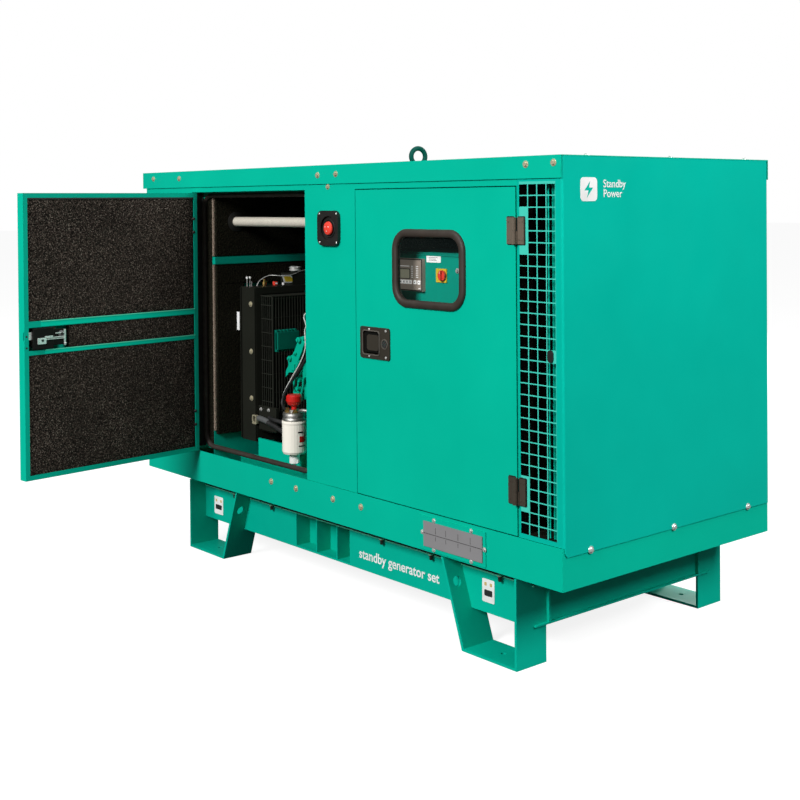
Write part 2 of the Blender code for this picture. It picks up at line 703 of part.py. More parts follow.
# The window gasket has an outer lip, a web through the door and an inner groove for the pane.
gasket_look = material("window_rubber", BROWN_BLACK, 0.6)
gasket = plate(
    [
        rounded(*grown(WINDOW, WINDOW_BORDER), WINDOW_RADIUS + WINDOW_BORDER),
        rounded(*WINDOW, WINDOW_RADIUS),
    ],
    "y",
    -0.0105,
    -GAP,
    right_swing,
)
gasket_web = plate(
    [
        rounded(*grown(WINDOW, 0.0072), WINDOW_RADIUS + 0.0072),
        rounded(*grown(WINDOW, 0.0030), WINDOW_RADIUS + 0.0030),
    ],
    "y",
    -0.0020,
    0.0300,
    right_swing,
)
finish("window_gasket", gasket, gasket_look, [gasket_web])
pane_look = material("window_pane", (0.55, 0.62, 0.60), 0.05)
pane = plate([rounded(*grown(WINDOW, 0.0022), WINDOW_RADIUS + 0.0022)], "y", 0.0005, 0.0045, right_swing)
finish("window_pane", pane, pane_look)

# Seals on the stop flange
seal_look = material("seal_rubber", BROWN_BLACK, 0.62)
for name, opening in (("left_door_seal", LEFT_OPENING), ("right_door_seal", RIGHT_OPENING)):
    seal = plate(
        [
            rounded(*grown(opening, SEAL_WIDTH), OPENING_RADIUS + SEAL_WIDTH),
            rounded(*grown(opening, 0.001), OPENING_RADIUS + 0.001),
        ],
        "y",
        0.0370,
        STOP_FRONT - GAP,
    )
    finish(name, seal, seal_look)

# ---------------------------------------------------------------- rear side
rear_look = material("rear_frame_paint", TEAL, 0.36)
rear, rear_adds = stop_frame(WIDTH, -1)
rear_adds.append(box((2.0900, WIDTH - SHEET, 0.117), (LENGTH - SHEET - GAP, WIDTH, 1.1065)))
rear_doors = (
    ("rear_left_door", LEFT_AXIS, 1, LEFT_DOOR_WIDTH, rear_left_swing),
    ("rear_right_door", RIGHT_AXIS, -1, RIGHT_DOOR_WIDTH, rear_right_swing),
)
for name, axis_x, side, width, home in rear_doors:
    outer, cuts = door_shapes(axis_x, side, width, WIDTH, -1, home)
    shell = finish(name, outer, rear_door_look, cut=cuts)
    bores = []
    for low in (HINGE_LOW, HINGE_HIGH):
        frame_leaf, door_leaf, bore = hinge(axis_x, WIDTH, -1, side, low, home, sink=0.0015)
        rear_adds.extend(frame_leaf)
        bores.append(bore)
        for shape in door_leaf:
            joined = shell.modifiers.new("union", "BOOLEAN")
            joined.operation = "UNION"
            joined.object = shape
    for bore in bores:
        bored = shell.modifiers.new("difference", "BOOLEAN")
        bored.operation = "DIFFERENCE"
        bored.object = bore
finish("rear_frame", rear, rear_look, rear_adds)

# ---------------------------------------------------------------- lifting frame and eye
lifting_look = material("lifting_frame_paint", TEAL, 0.45)
beam = box((1.108, 0.075, 1.105), (1.158, WIDTH - 0.075, 1.150))
posts = [
    box((1.108, 0.075, 0.0035), (1.158, 0.115, 1.120)),
    box((1.108, WIDTH - 0.115, 0.0035), (1.158, WIDTH - 0.075, 1.120)),
]
eye_hole = rod((1.133, ENGINE_Y, 1.09), (1.133, ENGINE_Y, 1.16), 0.0125, 16)
finish("lifting_frame", beam, lifting_look, posts, [eye_hole])

eye_look = material("lifting_eye_paint", (0.030, 0.060, 0.055), 0.4, 0.3)
EYE_Z = 1.2087
EYE_RING = 0.0288
EYE_WIRE = 0.0088
eye_shank = rod((1.133, ENGINE_Y, 1.118), (1.133, ENGINE_Y, 1.1765), 0.0115, 18)
eye_collar = rod((1.133, ENGINE_Y, HEIGHT + GAP), (1.133, ENGINE_Y, HEIGHT + 0.0094), 0.0185, 22)
ring_profile = [
    (EYE_RING + EYE_WIRE * math.cos(math.radians(angle)), EYE_WIRE * math.sin(math.radians(angle)))
    for angle in range(90, -270, -45)
]
ring = turned(
    [*ring_profile, ring_profile[0]],
    (1.133, ENGINE_Y, EYE_Z),
    (math.cos(math.radians(10)), -math.sin(math.radians(10)), 0),
    20,
)
finish("lifting_eye", eye_shank, eye_look, [eye_collar, ring])

# ---------------------------------------------------------------- emergency stop
stop_look = material("stop_housing_plastic", BLACK, 0.5)
stop_x, stop_z = STOP_AT
stop_box = plate([rounded(stop_x - 0.0585, stop_x + 0.0530, 0.9065, 1.0205, 0.022)], "y", -0.0120, -GAP)
stop_oval = plate([rounded(stop_x - 0.040, stop_x + 0.040, 0.924, 1.003, 0.0385)], "y", -0.0130, -0.0045)
stop_bore = rod((stop_x, -0.02, stop_z), (stop_x, 0.01, stop_z), 0.0135, 20)
finish("stop_housing", stop_box, stop_look, cut=[stop_oval, stop_bore])
red_look = material("stop_button_red", (0.60, 0.012, 0.012), 0.35)
stop_axis = empty("stop_button_axis", (stop_x, -0.010, stop_z), root)
button = turned(
    [
        (0.0, 0.0085),
        (0.0130, 0.0075),
        (0.0205, 0.0050),
        (0.0225, 0.0010),
        (0.0115, 0.0),
        (0.0115, -0.0180),
        (0.0, -0.0180),
    ],
    (stop_x, -0.0090, stop_z),
    (0, -1, 0),
    20,
    stop_axis,
)
finish("stop_button", button, red_look)

# ---------------------------------------------------------------- control box
box_look = material("control_box_paint", TEAL, 0.4)
control = box((1.420, 0.0900, 0.630), (1.800, 0.330, 0.891))
box_hollow = box((1.423, 0.093, 0.633), (1.797, 0.340, 0.888))
knob_x, knob_z = KNOB_AT
knob_socket = rod((knob_x, 0.08, knob_z), (knob_x, 0.110, knob_z), 0.0062, 16)
finish("control_box", control, box_look, cut=[box_hollow, knob_socket])
module_look = material("control_module_plastic", (0.020, 0.022, 0.024), 0.45)
module = box((1.449, 0.0775, 0.769), (1.602, 0.0895, 0.870))
finish("control_module", module, module_look)
yellow_look = material("isolator_yellow", (0.75, 0.55, 0.02), 0.45)
isolator = box((1.655, 0.0865, 0.8005), (1.703, 0.0895, 0.8425))
knob_hole = rod((knob_x, 0.08, knob_z), (knob_x, 0.095, knob_z), 0.0062, 16)
finish("isolator_plate", isolator, yellow_look, cut=[knob_hole])
knob_look = material("isolator_red", (0.55, 0.010, 0.010), 0.4)
knob_axis = empty("isolator_knob_axis", (knob_x, 0.086, knob_z), root)
knob = rod((knob_x, 0.0790, knob_z), (knob_x, 0.0860, knob_z), 0.0160, 24, knob_axis)
grip = box((knob_x - 0.0042, 0.0725, knob_z - 0.0145), (knob_x + 0.0042, 0.0800, knob_z + 0.0145), knob_axis)
spindle = rod((knob_x, 0.0850, knob_z), (knob_x, 0.1050, knob_z), 0.0055, 16, knob_axis)
finish("isolator_knob", knob, knob_look, [grip, spindle])

# ---------------------------------------------------------------- radiator end
baffle_look = material("baffle_paint", TEAL, 0.5)
baffle = box((0.4220, 0.0530, 0.0035), (0.4250, 0.890, 1.160))
baffle_window = box((0.41, 0.185, 0.200), (0.43, 0.758, 0.690))
pipe_opening = rod((0.41, PIPE_Y, PIPE_Z), (0.44, PIPE_Y, PIPE_Z), PIPE_RADIUS + 0.006, 20)
strut = box((0.4240, 0.0530, 0.8175), (0.4430, 0.890, 0.8445))
finish("radiator_baffle", baffle, baffle_look, [strut], [baffle_window, pipe_opening])

radiator_look = material("radiator_black", BLACK, 0.55)
radiator = box((0.4625, 0.155, 0.150), (0.563, 0.788, 0.730))
top_tank = box((0.474, 0.330, 0.725), (0.552, 0.768, 0.775))
neck = rod((0.520, 0.366, 0.770), (0.520, 0.366, 0.7835), 0.0175, 16)
neck_bore = rod((0.520, 0.366, 0.755), (0.520, 0.366, 0.79), 0.0130, 16)
radiator_feet = [
    box((0.4625, 0.300, 0.0810), (0.563, 0.350, 0.155)),
    box((0.4625, 0.593, 0.0810), (0.563, 0.643, 0.155)),
]
# The core is a 25 mm slab between the side channels.
core_recesses = [
    box((0.45, 0.185, 0.180), (0.5000, 0.758, 0.705)),
    box((0.5250, 0.185, 0.180), (0.58, 0.758, 0.705)),
]
finish("radiator", radiator, radiator_look, [top_tank, neck] + radiator_feet, [neck_bore] + core_recesses)
cap_look = material("radiator_cap_metal", (0.48, 0.46, 0.42), 0.35, 0.8)
cap_axis = empty("radiator_cap_axis", (0.520, 0.366, 0.784), root)
cap = turned(
    [
        (0.0, 0.0095),
        (0.0190, 0.0090),
        (0.0225, 0.0050),
        (0.0225, 0.0),
        (0.0118, 0.0),
        (0.0118, -0.0120),
        (0.0, -0.0120),
    ],
    (0.520, 0.366, 0.7842),
    (0, 0, 1),
    20,
    cap_axis,
)
finish("radiator_cap", cap, cap_look)

guard_look = material("fan_guard_black", BLACK, 0.45)
guard = box((0.5640, 0.175, 0.190), (0.642, 0.768, 0.700))
guard_hollow = box((0.55, 0.178, 0.193), (0.639, 0.765, 0.697))
guard_cuts = [guard_hollow]
for column in range(4):
    for row in range(4):
        y = 0.190 + column * 0.1435
        z = 0.205 + row * 0.1233
        guard_cuts.append(box((0.63, y, z), (0.66, y + 0.1325, z + 0.110)))
for row in range(4):
    z = 0.205 + row * 0.1233
    guard_cuts.append(box((0.574, 0.16, z), (0.630, 0.80, z + 0.110)))
finish("fan_guard", guard, guard_look, cut=guard_cuts)

# ---------------------------------------------------------------- engine and alternator
engine_look = material("engine_paint", ENGINE_GREEN, 0.45)
block = box((0.790, 0.365, 0.250), (1.284, 0.578, 0.600))
head = box((0.810, 0.385, 0.590), (1.270, 0.558, 0.690))
rocker = box((0.830, 0.400, 0.680), (1.250, 0.543, 0.745))
sump = box((0.820, 0.385, 0.115), (1.250, 0.558, 0.260))
shaft_bore = rod((0.70, ENGINE_Y, CRANK_Z), (1.40, ENGINE_Y, CRANK_Z), 0.0225, 24)
fan_bore = rod((0.70, ENGINE_Y, FAN_Z), (0.85, ENGINE_Y, FAN_Z), 0.0155, 16)
engine_feet = [
    box((0.900, 0.190, 0.0810), (0.960, 0.370, 0.0930)),
    box((0.900, 0.356, 0.0810), (0.960, 0.370, 0.270)),
    box((0.900, 0.573, 0.0810), (0.960, 0.753, 0.0930)),
    box((0.900, 0.573, 0.0810), (0.960, 0.587, 0.270)),
]
bracket = box((0.800, 0.300, 0.470), (0.900, 0.370, 0.500))
finish("engine", block, engine_look, [head, rocker, sump, bracket] + engine_feet, [shaft_bore, fan_bore])

alternator_look = material("alternator_paint", ENGINE_GREEN, 0.5)
alternator = turned(
    [
        (0.1080, 0.0),
        (0.1950, 0.0),
        (0.1950, -0.0750),
        (0.1700, -0.0950),
        (0.1700, -0.4500),
        (0.1500, -0.4700),
        (0.1080, -0.4700),
        (0.1080, 0.0),
    ],
    (1.2850, ENGINE_Y, CRANK_Z),
    (-1, 0, 0),
    32,
)
terminal_box = box((1.480, 0.370, 0.480), (1.700, 0.573, 0.615))
alternator_feet = [
    box((1.520, 0.190, 0.0810), (1.640, 0.380, 0.0950)),
    box((1.520, 0.340, 0.0810), (1.640, 0.365, 0.300)),
    box((1.520, 0.563, 0.0810), (1.640, 0.753, 0.0950)),
    box((1.520, 0.578, 0.0810), (1.640, 0.603, 0.300)),
]
bore_clear = rod((1.20, ENGINE_Y, CRANK_Z), (1.80, ENGINE_Y, CRANK_Z), 0.1080, 32)
finish("alternator", alternator, alternator_look, [terminal_box] + alternator_feet, [bore_clear])

crank_look = material("crankshaft_steel", (0.20, 0.20, 0.21), 0.4, 1.0)
crank_axis = empty("crankshaft_axis", (0.745, ENGINE_Y, CRANK_Z), root)


def along(x):
    return (x, ENGINE_Y, CRANK_Z)


shaft = rod(along(0.733), along(1.770), 0.0200, 24, crank_axis)
crank_pulley = rod(along(PULLEY_X[0]), along(PULLEY_X[1]), CRANK_PULLEY, 32, crank_axis)
rotor = rod(along(1.400), along(1.700), 0.1000, 24, crank_axis)
finish("crankshaft_rotor", shaft, crank_look, [crank_pulley, rotor])

fan_look = material("fan_plastic", BLACK, 0.5)
fan_axis = empty("fan_axis", (0.615, ENGINE_Y, FAN_Z), root)


def fan_line(x):
    return (x, ENGINE_Y, FAN_Z)


fan_hub = rod(fan_line(0.598), fan_line(0.630), 0.0500, 24, fan_axis)
fan_adds = [
    rod(fan_line(0.625), fan_line(0.830), 0.0140, 16, fan_axis),
    rod(fan_line(PULLEY_X[0]), fan_line(PULLEY_X[1]), FAN_PULLEY, 32, fan_axis),
]
BLADES = 7
for index in range(BLADES):
    blade_foot = (0.6135, ENGINE_Y - 0.025, FAN_Z + 0.040)
    blade = box(blade_foot, (0.6165, ENGINE_Y + 0.025, FAN_Z + 0.195), fan_axis)
    turn = Matrix.Rotation(2 * math.pi * index / BLADES, 4, "X")
    pitch = Matrix.Rotation(math.radians(28), 4, "Z")
    blade.data.transform(turn @ pitch)
    fan_adds.append(blade)
guard_hole = rod(fan_line(0.60), fan_line(0.70), 0.0220, 20)
finish("fan", fan_hub, fan_look, fan_adds)
opening = bpy.data.objects["fan_guard"].modifiers.new("shaft", "BOOLEAN")
opening.operation = "DIFFERENCE"
opening.object = guard_hole

charger_look = material("charging_alternator_metal", (0.42, 0.42, 0.41), 0.45, 0.8)
charger_y, charger_z = CHARGER_AT
charger = rod((0.765, charger_y, charger_z), (0.900, charger_y, charger_z), 0.0560, 20)
charger_bore = rod((0.75, charger_y, charger_z), (0.92, charger_y, charger_z), 0.0095, 16)
charger_arm = box((0.800, charger_y - 0.010, 0.5005), (0.880, charger_y + 0.030, charger_z - 0.030))
finish("charging_alternator", charger, charger_look, [charger_arm], [charger_bore])
pulley_look = material("charging_pulley_steel", (0.30, 0.30, 0.30), 0.4, 1.0)
charger_axis = empty("charging_pulley_axis", (0.745, charger_y, charger_z), root)
pulley = rod(
    (PULLEY_X[0], charger_y, charger_z), (PULLEY_X[1], charger_y, charger_z), CHARGER_PULLEY, 24, charger_axis
)
pulley_pin = rod((0.750, charger_y, charger_z), (0.890, charger_y, charger_z), 0.0080, 16, charger_axis)
finish("charging_pulley", pulley, pulley_look, [pulley_pin])


def wrap(circles, grow):
    """The outer tangent outline round circles given as (y, z, radius), counterclockwise."""
    samples = []
    for y, z, radius in circles:
        for step in range(48):
            angle = 2 * math.pi * step / 48
            samples.append((y + (radius + grow) * math.cos(angle), z + (radius + grow) * math.sin(angle)))
    samples = sorted(set(samples))

    def half(points):
        chain = []
        for point in points:
            while len(chain) > 1:
                (ay, az), (by, bz) = chain[-2], chain[-1]
                if (by - ay) * (point[1] - az) - (bz - az) * (point[0] - ay) > 1e-12:
                    break
                chain.pop()
            chain.append(point)
        return chain[:-1]

    return half(samples) + half(samples[::-1])


belt_look = material("belt_rubber", BLACK, 0.75)
loop = (
    (ENGINE_Y, CRANK_Z, CRANK_PULLEY),
    (ENGINE_Y, FAN_Z, FAN_PULLEY),
    (charger_y, charger_z, CHARGER_PULLEY),
)
belt = plate([wrap(loop, 0.0075), wrap(loop, 0.0008)], "x", 0.739, 0.751)
finish("fan_belt", belt, belt_look)

# ---------------------------------------------------------------- exhaust
exhaust_look = material("exhaust_steel", (0.50, 0.48, 0.44), 0.36, 1.0)
silencer = rod((0.200, 0.110, 0.950), (0.200, 0.773, 0.950), 0.0800, 24)
silencer_hollow = rod((0.200, 0.113, 0.950), (0.200, 0.770, 0.950), 0.0770, 24)
long_pipe = rod((0.270, PIPE_Y, PIPE_Z), (1.030, PIPE_Y, PIPE_Z), PIPE_RADIUS, 24)
cross_pipe = rod((1.012, PIPE_Y, PIPE_Z), (1.012, 0.345, PIPE_Z), PIPE_RADIUS, 20)
down_pipe = rod((1.012, 0.327, PIPE_Z + 0.018), (1.012, 0.327, 0.622), PIPE_RADIUS + 0.001, 20)
manifold_flange = rod((1.012, 0.327, 0.641), (1.012, 0.3840, 0.641), 0.0240, 20)
outlet = rod((0.004, ENGINE_Y, 0.930), (0.135, ENGINE_Y, 0.930), 0.0260, 20)
outlet_bore = rod((-0.01, ENGINE_Y, 0.930), (0.140, ENGINE_Y, 0.930), 0.0225, 20)
finish(
    "exhaust",
    silencer,
    exhaust_look,
    [long_pipe, cross_pipe, down_pipe, manifold_flange, outlet],
    [silencer_hollow, outlet_bore],
)

# ---------------------------------------------------------------- fuel filter
FILTER_X = 0.879
FILTER_Y = 0.102
filter_look = material("filter_head_alloy", (0.45, 0.44, 0.42), 0.4, 0.7)
filter_head = rod((FILTER_X, FILTER_Y, 0.2785), (FILTER_X, FILTER_Y, 0.3070), 0.0400, 24)
filter_arm = box((0.850, 0.110, 0.2900), (0.908, 0.3645, 0.2980))
primer_bore = rod((FILTER_X, FILTER_Y, 0.284), (FILTER_X, FILTER_Y, 0.34), 0.0108, 16)
collar = rod((FILTER_X, FILTER_Y, 0.306), (FILTER_X, FILTER_Y, 0.316), 0.0200, 20)
finish("filter_head", filter_head, filter_look, [filter_arm, collar], [primer_bore])
canister_look = material("filter_canister_white", (0.62, 0.58, 0.50), 0.4)
canister = turned(
    [
        (0.0, 0.2780),
        (0.0435, 0.2780),
        (0.0435, 0.1690),
        (0.0390, 0.1610),
        (0.0200, 0.1610),
        (0.0200, 0.1580),
        (0.0, 0.1580),
    ],
    (FILTER_X, FILTER_Y, 0.0),
    (0, 0, 1),
    28,
)
drain_bore = rod((FILTER_X, FILTER_Y, 0.10), (FILTER_X, FILTER_Y, 0.176), 0.0065, 16)
finish("filter_canister", canister, canister_look, cut=[drain_bore])
primer_look = material("primer_red", (0.50, 0.010, 0.010), 0.4)
primer_axis = empty("primer_axis", (FILTER_X, FILTER_Y, 0.328), root)
primer = turned(
    [
        (0.0, 0.0420),
        (0.0235, 0.0405),
        (0.0285, 0.0350),
        (0.0290, 0.0180),
        (0.0225, 0.0060),
        (0.0130, 0.0),
        (0.0100, 0.0),
        (0.0100, -0.0250),
        (0.0, -0.0250),
    ],
    (FILTER_X, FILTER_Y, 0.328),
    (0, 0, 1),
    24,
    primer_axis,
)
finish("primer_button", primer, primer_look)
drain_look = material("drain_brass", (0.62, 0.44, 0.14), 0.35, 1.0)
drain_axis = empty("drain_axis", (FILTER_X, FILTER_Y, 0.130), root)
drain = rod((FILTER_X, FILTER_Y, 0.126), (FILTER_X, FILTER_Y, 0.1574), 0.0185, 20, drain_axis)
stem = rod((FILTER_X, FILTER_Y, 0.112), (FILTER_X, FILTER_Y, 0.171), 0.0055, 16, drain_axis)
wing_start = (FILTER_X - 0.022, FILTER_Y - 0.003, 0.128)
wing = box(wing_start, (FILTER_X + 0.022, FILTER_Y + 0.003, 0.140), drain_axis)
finish("filter_drain", drain, drain_look, [stem, wing])
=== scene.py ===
"""Looks for the enclosed generator set: every place is in enclosure coordinates, in millimetres.

x runs along the front from the radiator end, y from the front doors to the rear, and z is
measured from the underside of the base tray. PLACE turns them into the frame's own metres.
"""

import json
import math

import bmesh
import bpy
from mathutils import Matrix, Vector, noise


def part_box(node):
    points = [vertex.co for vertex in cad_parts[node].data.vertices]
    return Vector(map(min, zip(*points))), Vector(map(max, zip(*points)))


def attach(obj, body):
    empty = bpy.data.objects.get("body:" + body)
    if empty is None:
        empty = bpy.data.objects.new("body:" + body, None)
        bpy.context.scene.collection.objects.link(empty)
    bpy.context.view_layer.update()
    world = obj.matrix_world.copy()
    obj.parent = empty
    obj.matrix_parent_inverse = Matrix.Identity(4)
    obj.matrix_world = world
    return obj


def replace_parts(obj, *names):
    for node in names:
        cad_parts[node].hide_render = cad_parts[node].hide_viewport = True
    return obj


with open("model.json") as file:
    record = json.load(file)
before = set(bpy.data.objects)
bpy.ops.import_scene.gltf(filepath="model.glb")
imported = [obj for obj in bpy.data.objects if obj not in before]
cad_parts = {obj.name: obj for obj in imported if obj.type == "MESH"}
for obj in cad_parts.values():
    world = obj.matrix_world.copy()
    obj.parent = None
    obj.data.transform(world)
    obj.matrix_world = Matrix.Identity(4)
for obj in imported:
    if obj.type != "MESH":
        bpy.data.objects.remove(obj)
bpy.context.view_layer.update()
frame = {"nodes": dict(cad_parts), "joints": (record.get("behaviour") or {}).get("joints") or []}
nodes = frame["nodes"]
MM = 0.001
ORIGIN = Vector((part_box("roof")[0].x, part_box("right_door")[0].y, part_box("base_tray")[0].z))
PLACE = Matrix.Translation(ORIGIN) @ Matrix.Scale(MM, 4)
LENGTH = (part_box("roof")[1].x - ORIGIN.x) / MM
WIDTH = (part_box("right_end_panel")[1].y - ORIGIN.y) / MM
RAIL_START = (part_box("base_frame")[0].x - ORIGIN.x) / MM + 3
RAIL_STOP = (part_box("base_frame")[1].x - ORIGIN.x) / MM - 3
ENGINE_Y = 471.5
STOP_X, STOP_Z = 1237, 963
KNOB_X = 1686.5
FRONT, REAR, UP, END = (0, -1, 0), (0, 1, 0), (0, 0, 1), (1, 0, 0)
BASE, RIGHT, LEFT = "enclosure", "right_door_body", "left_door_body"
ON_LEFT_DOOR = (LEFT, "left_paddle", "left_key", "left_tongue")

swing = next(item for item in frame["joints"] if item["name"] == "left_door_swing")
pivot = Matrix.Translation(swing["pos_m"])
opened = Matrix.Rotation(-math.radians(swing["range_deg"][0]), 4, Vector(swing["axis"]))
LEFT_OPEN = pivot @ opened @ pivot.inverted()

# ---------------- materials
LOOKS = {}


class Nodes:
    """Short names for building one material's node tree, which LOOKS keeps by name."""

    def __init__(self, name):
        material = bpy.data.materials.new(name)
        material.use_nodes = True
        LOOKS[name] = material
        self.tree = material.node_tree
        self.surface = self.tree.nodes["Principled BSDF"]
        self.place = self.add("ShaderNodeTexCoord").outputs["Object"]

    def add(self, kind, **values):
        node = self.tree.nodes.new(kind)
        for key, value in values.items():
            setattr(node, key, value)
        return node

    def link(self, source, target):
        self.tree.links.new(source, target)

    def noise(self, scale, detail=3.0, rough=0.55, stretch=None):
        node = self.add("ShaderNodeTexNoise")
        for key, value in (("Scale", scale), ("Detail", detail), ("Roughness", rough)):
            node.inputs[key].default_value = value
        source = self.place
        if stretch:
            mapping = self.add("ShaderNodeMapping")
            mapping.inputs["Scale"].default_value = stretch
            self.link(self.place, mapping.inputs["Vector"])
            source = mapping.outputs["Vector"]
        self.link(source, node.inputs["Vector"])
        return node.outputs["Fac"]

    def ramp(self, source, stops):
        node = self.add("ShaderNodeValToRGB")
        band = node.color_ramp
        while len(band.elements) < len(stops):
            band.elements.new(0.5)
        for element, (position, colour) in zip(band.elements, stops):
            element.position = position
            element.color = (*colour, 1.0)
        self.link(source, node.inputs["Fac"])
        return node.outputs["Color"]

    def varied(self, source, colour, below, above):
        """The colour, darker where the source is low and paler where it is high."""
        return self.ramp(source, [(0.3, shade(colour, 1 - below)), (0.7, shade(colour, 1 + above))])

    def spread(self, source, low, high, start=0.3, stop=0.7):
        node = self.add("ShaderNodeMapRange")
        for key, value in (("From Min", start), ("From Max", stop), ("To Min", low), ("To Max", high)):
            node.inputs[key].default_value = value
        self.link(source, node.inputs["Value"])
        return node.outputs["Result"]

    def combine(self, operation, first, second):
        node = self.add("ShaderNodeMath", operation=operation)
        self.link(first, node.inputs[0])
        self.link(second, node.inputs[1])
        return node.outputs["Value"]

    def mix(self, factor, first, second):
        node = self.add("ShaderNodeMix", data_type="RGBA")
        self.link(factor, node.inputs["Factor"])
        for key, value in (("A", first), ("B", second)):
            socket = next(item for item in node.inputs if item.name == key and item.type == "RGBA")
            if isinstance(value, tuple):
                socket.default_value = (*value, 1.0)
            else:
                self.link(value, socket)
        return next(item for item in node.outputs if item.type == "RGBA")

    def bump(self, height, strength, distance):
        node = self.add("ShaderNodeBump")
        node.inputs["Strength"].default_value = strength
        node.inputs["Distance"].default_value = distance
        self.link(height, node.inputs["Height"])
        self.link(node.outputs["Normal"], self.surface.inputs["Normal"])

    def colour(self, source):
        self.link(source, self.surface.inputs["Base Color"])

    def rough(self, source):
        self.link(source, self.surface.inputs["Roughness"])

    def coat(self, rough, peel=0.05):
        """A powder coat's soft gloss and orange peel."""
        self.rough(self.spread(self.noise(9.0, 5.0), rough - 0.05, rough + 0.09))
        self.bump(self.noise(520.0, 2.0), peel, 0.0006)
        self.put(Specular_IOR_Level=0.08)

    def put(self, **values):
        for key, value in values.items():
            self.surface.inputs[key.replace("_", " ")].default_value = value


def shade(colour, factor):
    return tuple(min(1.0, channel * factor) for channel in colour)


def painted(name, colour, rough=0.36, vary=0.05, scuff=0.05, peel=0.05):
    """Powder coat: slow colour drift, orange peel, and faint paler scuffs."""
    n = Nodes(name)
    body = n.varied(n.noise(2.2, 4.0), colour, vary, vary)
    marks = n.spread(n.noise(38.0, 6.0, 0.7), 0.0, scuff, 0.66, 0.78)
    n.colour(n.mix(marks, body, tuple(channel * 1.2 + 0.01 for channel in colour)))
    n.coat(rough, peel)


def metal(name, colour, rough=0.35, brush=None, vary=0.15, metallic=1.0):
    """Bare or plated metal: brushed streaks or cast grain, with duller patches."""
    n = Nodes(name)
    n.colour(n.varied(n.noise(26.0, 5.0, 0.6), colour, vary, vary * 0.6))
    grain = n.noise(240.0, 3.0, 0.6, brush)
    n.rough(n.spread(grain, rough - 0.08, rough + 0.12))
    n.bump(grain, 0.12, 0.0004)
    n.put(Metallic=metallic)


def plastic(name, colour, rough=0.45, grain=0.15, coat=0.0, glow=0.0):
    """Moulded plastic: fine grain, faint clouding, and, if asked, a glow of painted light."""
    n = Nodes(name)
    n.colour(n.varied(n.noise(14.0, 4.0), colour, 0.12, 0.15))
    n.rough(n.spread(n.noise(60.0, 3.0), rough - 0.06, rough + 0.08))
    n.bump(n.noise(900.0, 2.0), grain, 0.0004)
    n.put(Coat_Weight=coat, Coat_Roughness=0.15, Emission_Color=(*colour, 1.0), Emission_Strength=glow)


def rubber(name, colour):
    """Matt rubber with a thin, uneven film of dust."""
    n = Nodes(name)
    dust = n.spread(n.noise(22.0, 5.0, 0.6), 0.0, 0.5, 0.45, 0.8)
    n.colour(n.mix(dust, colour, tuple(channel * 1.9 + 0.006 for channel in colour)))
    n.rough(n.spread(n.noise(45.0, 3.0), 0.5, 0.72))
    n.bump(n.noise(700.0, 3.0), 0.2, 0.0004)


def foam(name, dark, light, scale=145.0, sparkle=(0.14, 0.115, 0.095)):
    """Open-cell acoustic foam: dark pores, paler strands and a few bright chips."""
    n = Nodes(name)
    cell = n.add("ShaderNodeTexVoronoi", feature="F1")
    cell.inputs["Scale"].default_value = scale
    n.link(n.place, cell.inputs["Vector"])
    speck = n.noise(scale * 1.25, 2.0, 0.6)
    mottled = n.ramp(speck, [(0.42, dark), (0.5, shade(light, 0.35)), (0.6, light)])
    chips = n.spread(n.noise(scale * 1.6, 1.0, 0.5), 0.0, 1.0, 0.6, 0.66)
    flecked = n.mix(chips, mottled, sparkle)
    n.colour(n.mix(n.spread(n.noise(7.0, 3.0), 0.0, 0.35, 0.3, 0.75), flecked, dark))
    n.put(Roughness=0.95, Specular_IOR_Level=0.1)
    n.bump(n.combine("ADD", cell.outputs["Distance"], speck), 0.8, 0.004)


def door_paint(name):
    """The open door's paint, darker on the faces that look into the canopy: painted shade."""
    n = Nodes(name)
    drift = n.noise(2.2, 4.0)
    outside = n.varied(drift, TEAL, 0.05, 0.05)
    # The darker colour for the inner faces is painted shade.
    inside = n.ramp(drift, [(0.3, (0.0005, 0.29, 0.2)), (0.7, (0.0008, 0.33, 0.23))])
    turned = nodes["left_door"].matrix_world.to_3x3().inverted() @ (LEFT_OPEN.to_3x3() @ Vector(REAR))
    facing_in = n.add("ShaderNodeVectorMath", operation="DOT_PRODUCT")
    n.link(n.add("ShaderNodeTexCoord").outputs["Normal"], facing_in.inputs[0])
    facing_in.inputs[1].default_value = turned
    n.colour(n.mix(n.spread(facing_in.outputs["Value"], 0.0, 1.0, 0.45, 0.6), outside, inside))
    n.coat(0.36)


def grid_paint(name, low, high):
    """The end's paint, paler on the thin bars of the ventilation grid between two corners: a painted
    highlight.
    """
    n = Nodes(name)
    body = n.varied(n.noise(2.2, 4.0), TEAL_END, 0.05, 0.05)
    where = n.add("ShaderNodeSeparateXYZ")
    n.link(n.add("ShaderNodeNewGeometry").outputs["Position"], where.inputs["Vector"])
    fade = 0.2 * MM
    highlight_mask = None
    for axis, start, stop in zip("XYZ", PLACE @ Vector(low), PLACE @ Vector(high)):
        for edge, after in ((start - fade, start), (stop + fade, stop)):
            inside = n.spread(where.outputs[axis], 0.0, 1.0, edge, after)
            highlight_mask = inside if highlight_mask is None else n.combine("MULTIPLY", highlight_mask, inside)
    n.colour(n.mix(highlight_mask, body, (0.06, 0.6, 0.47)))
    n.coat(0.33)


def pane_glass(name):
    """Clear glazing with faint streaks."""
    n = Nodes(name)
    streaks = n.noise(5.0, 3.0, 0.5, (1, 1, 4))
    n.colour(n.ramp(streaks, [(0.3, (0.03, 0.05, 0.05)), (0.7, (0.06, 0.09, 0.08))]))
    n.rough(n.spread(streaks, 0.02, 0.08))
    n.put(Alpha=0.05, IOR=1.45, Specular_IOR_Level=0.35)


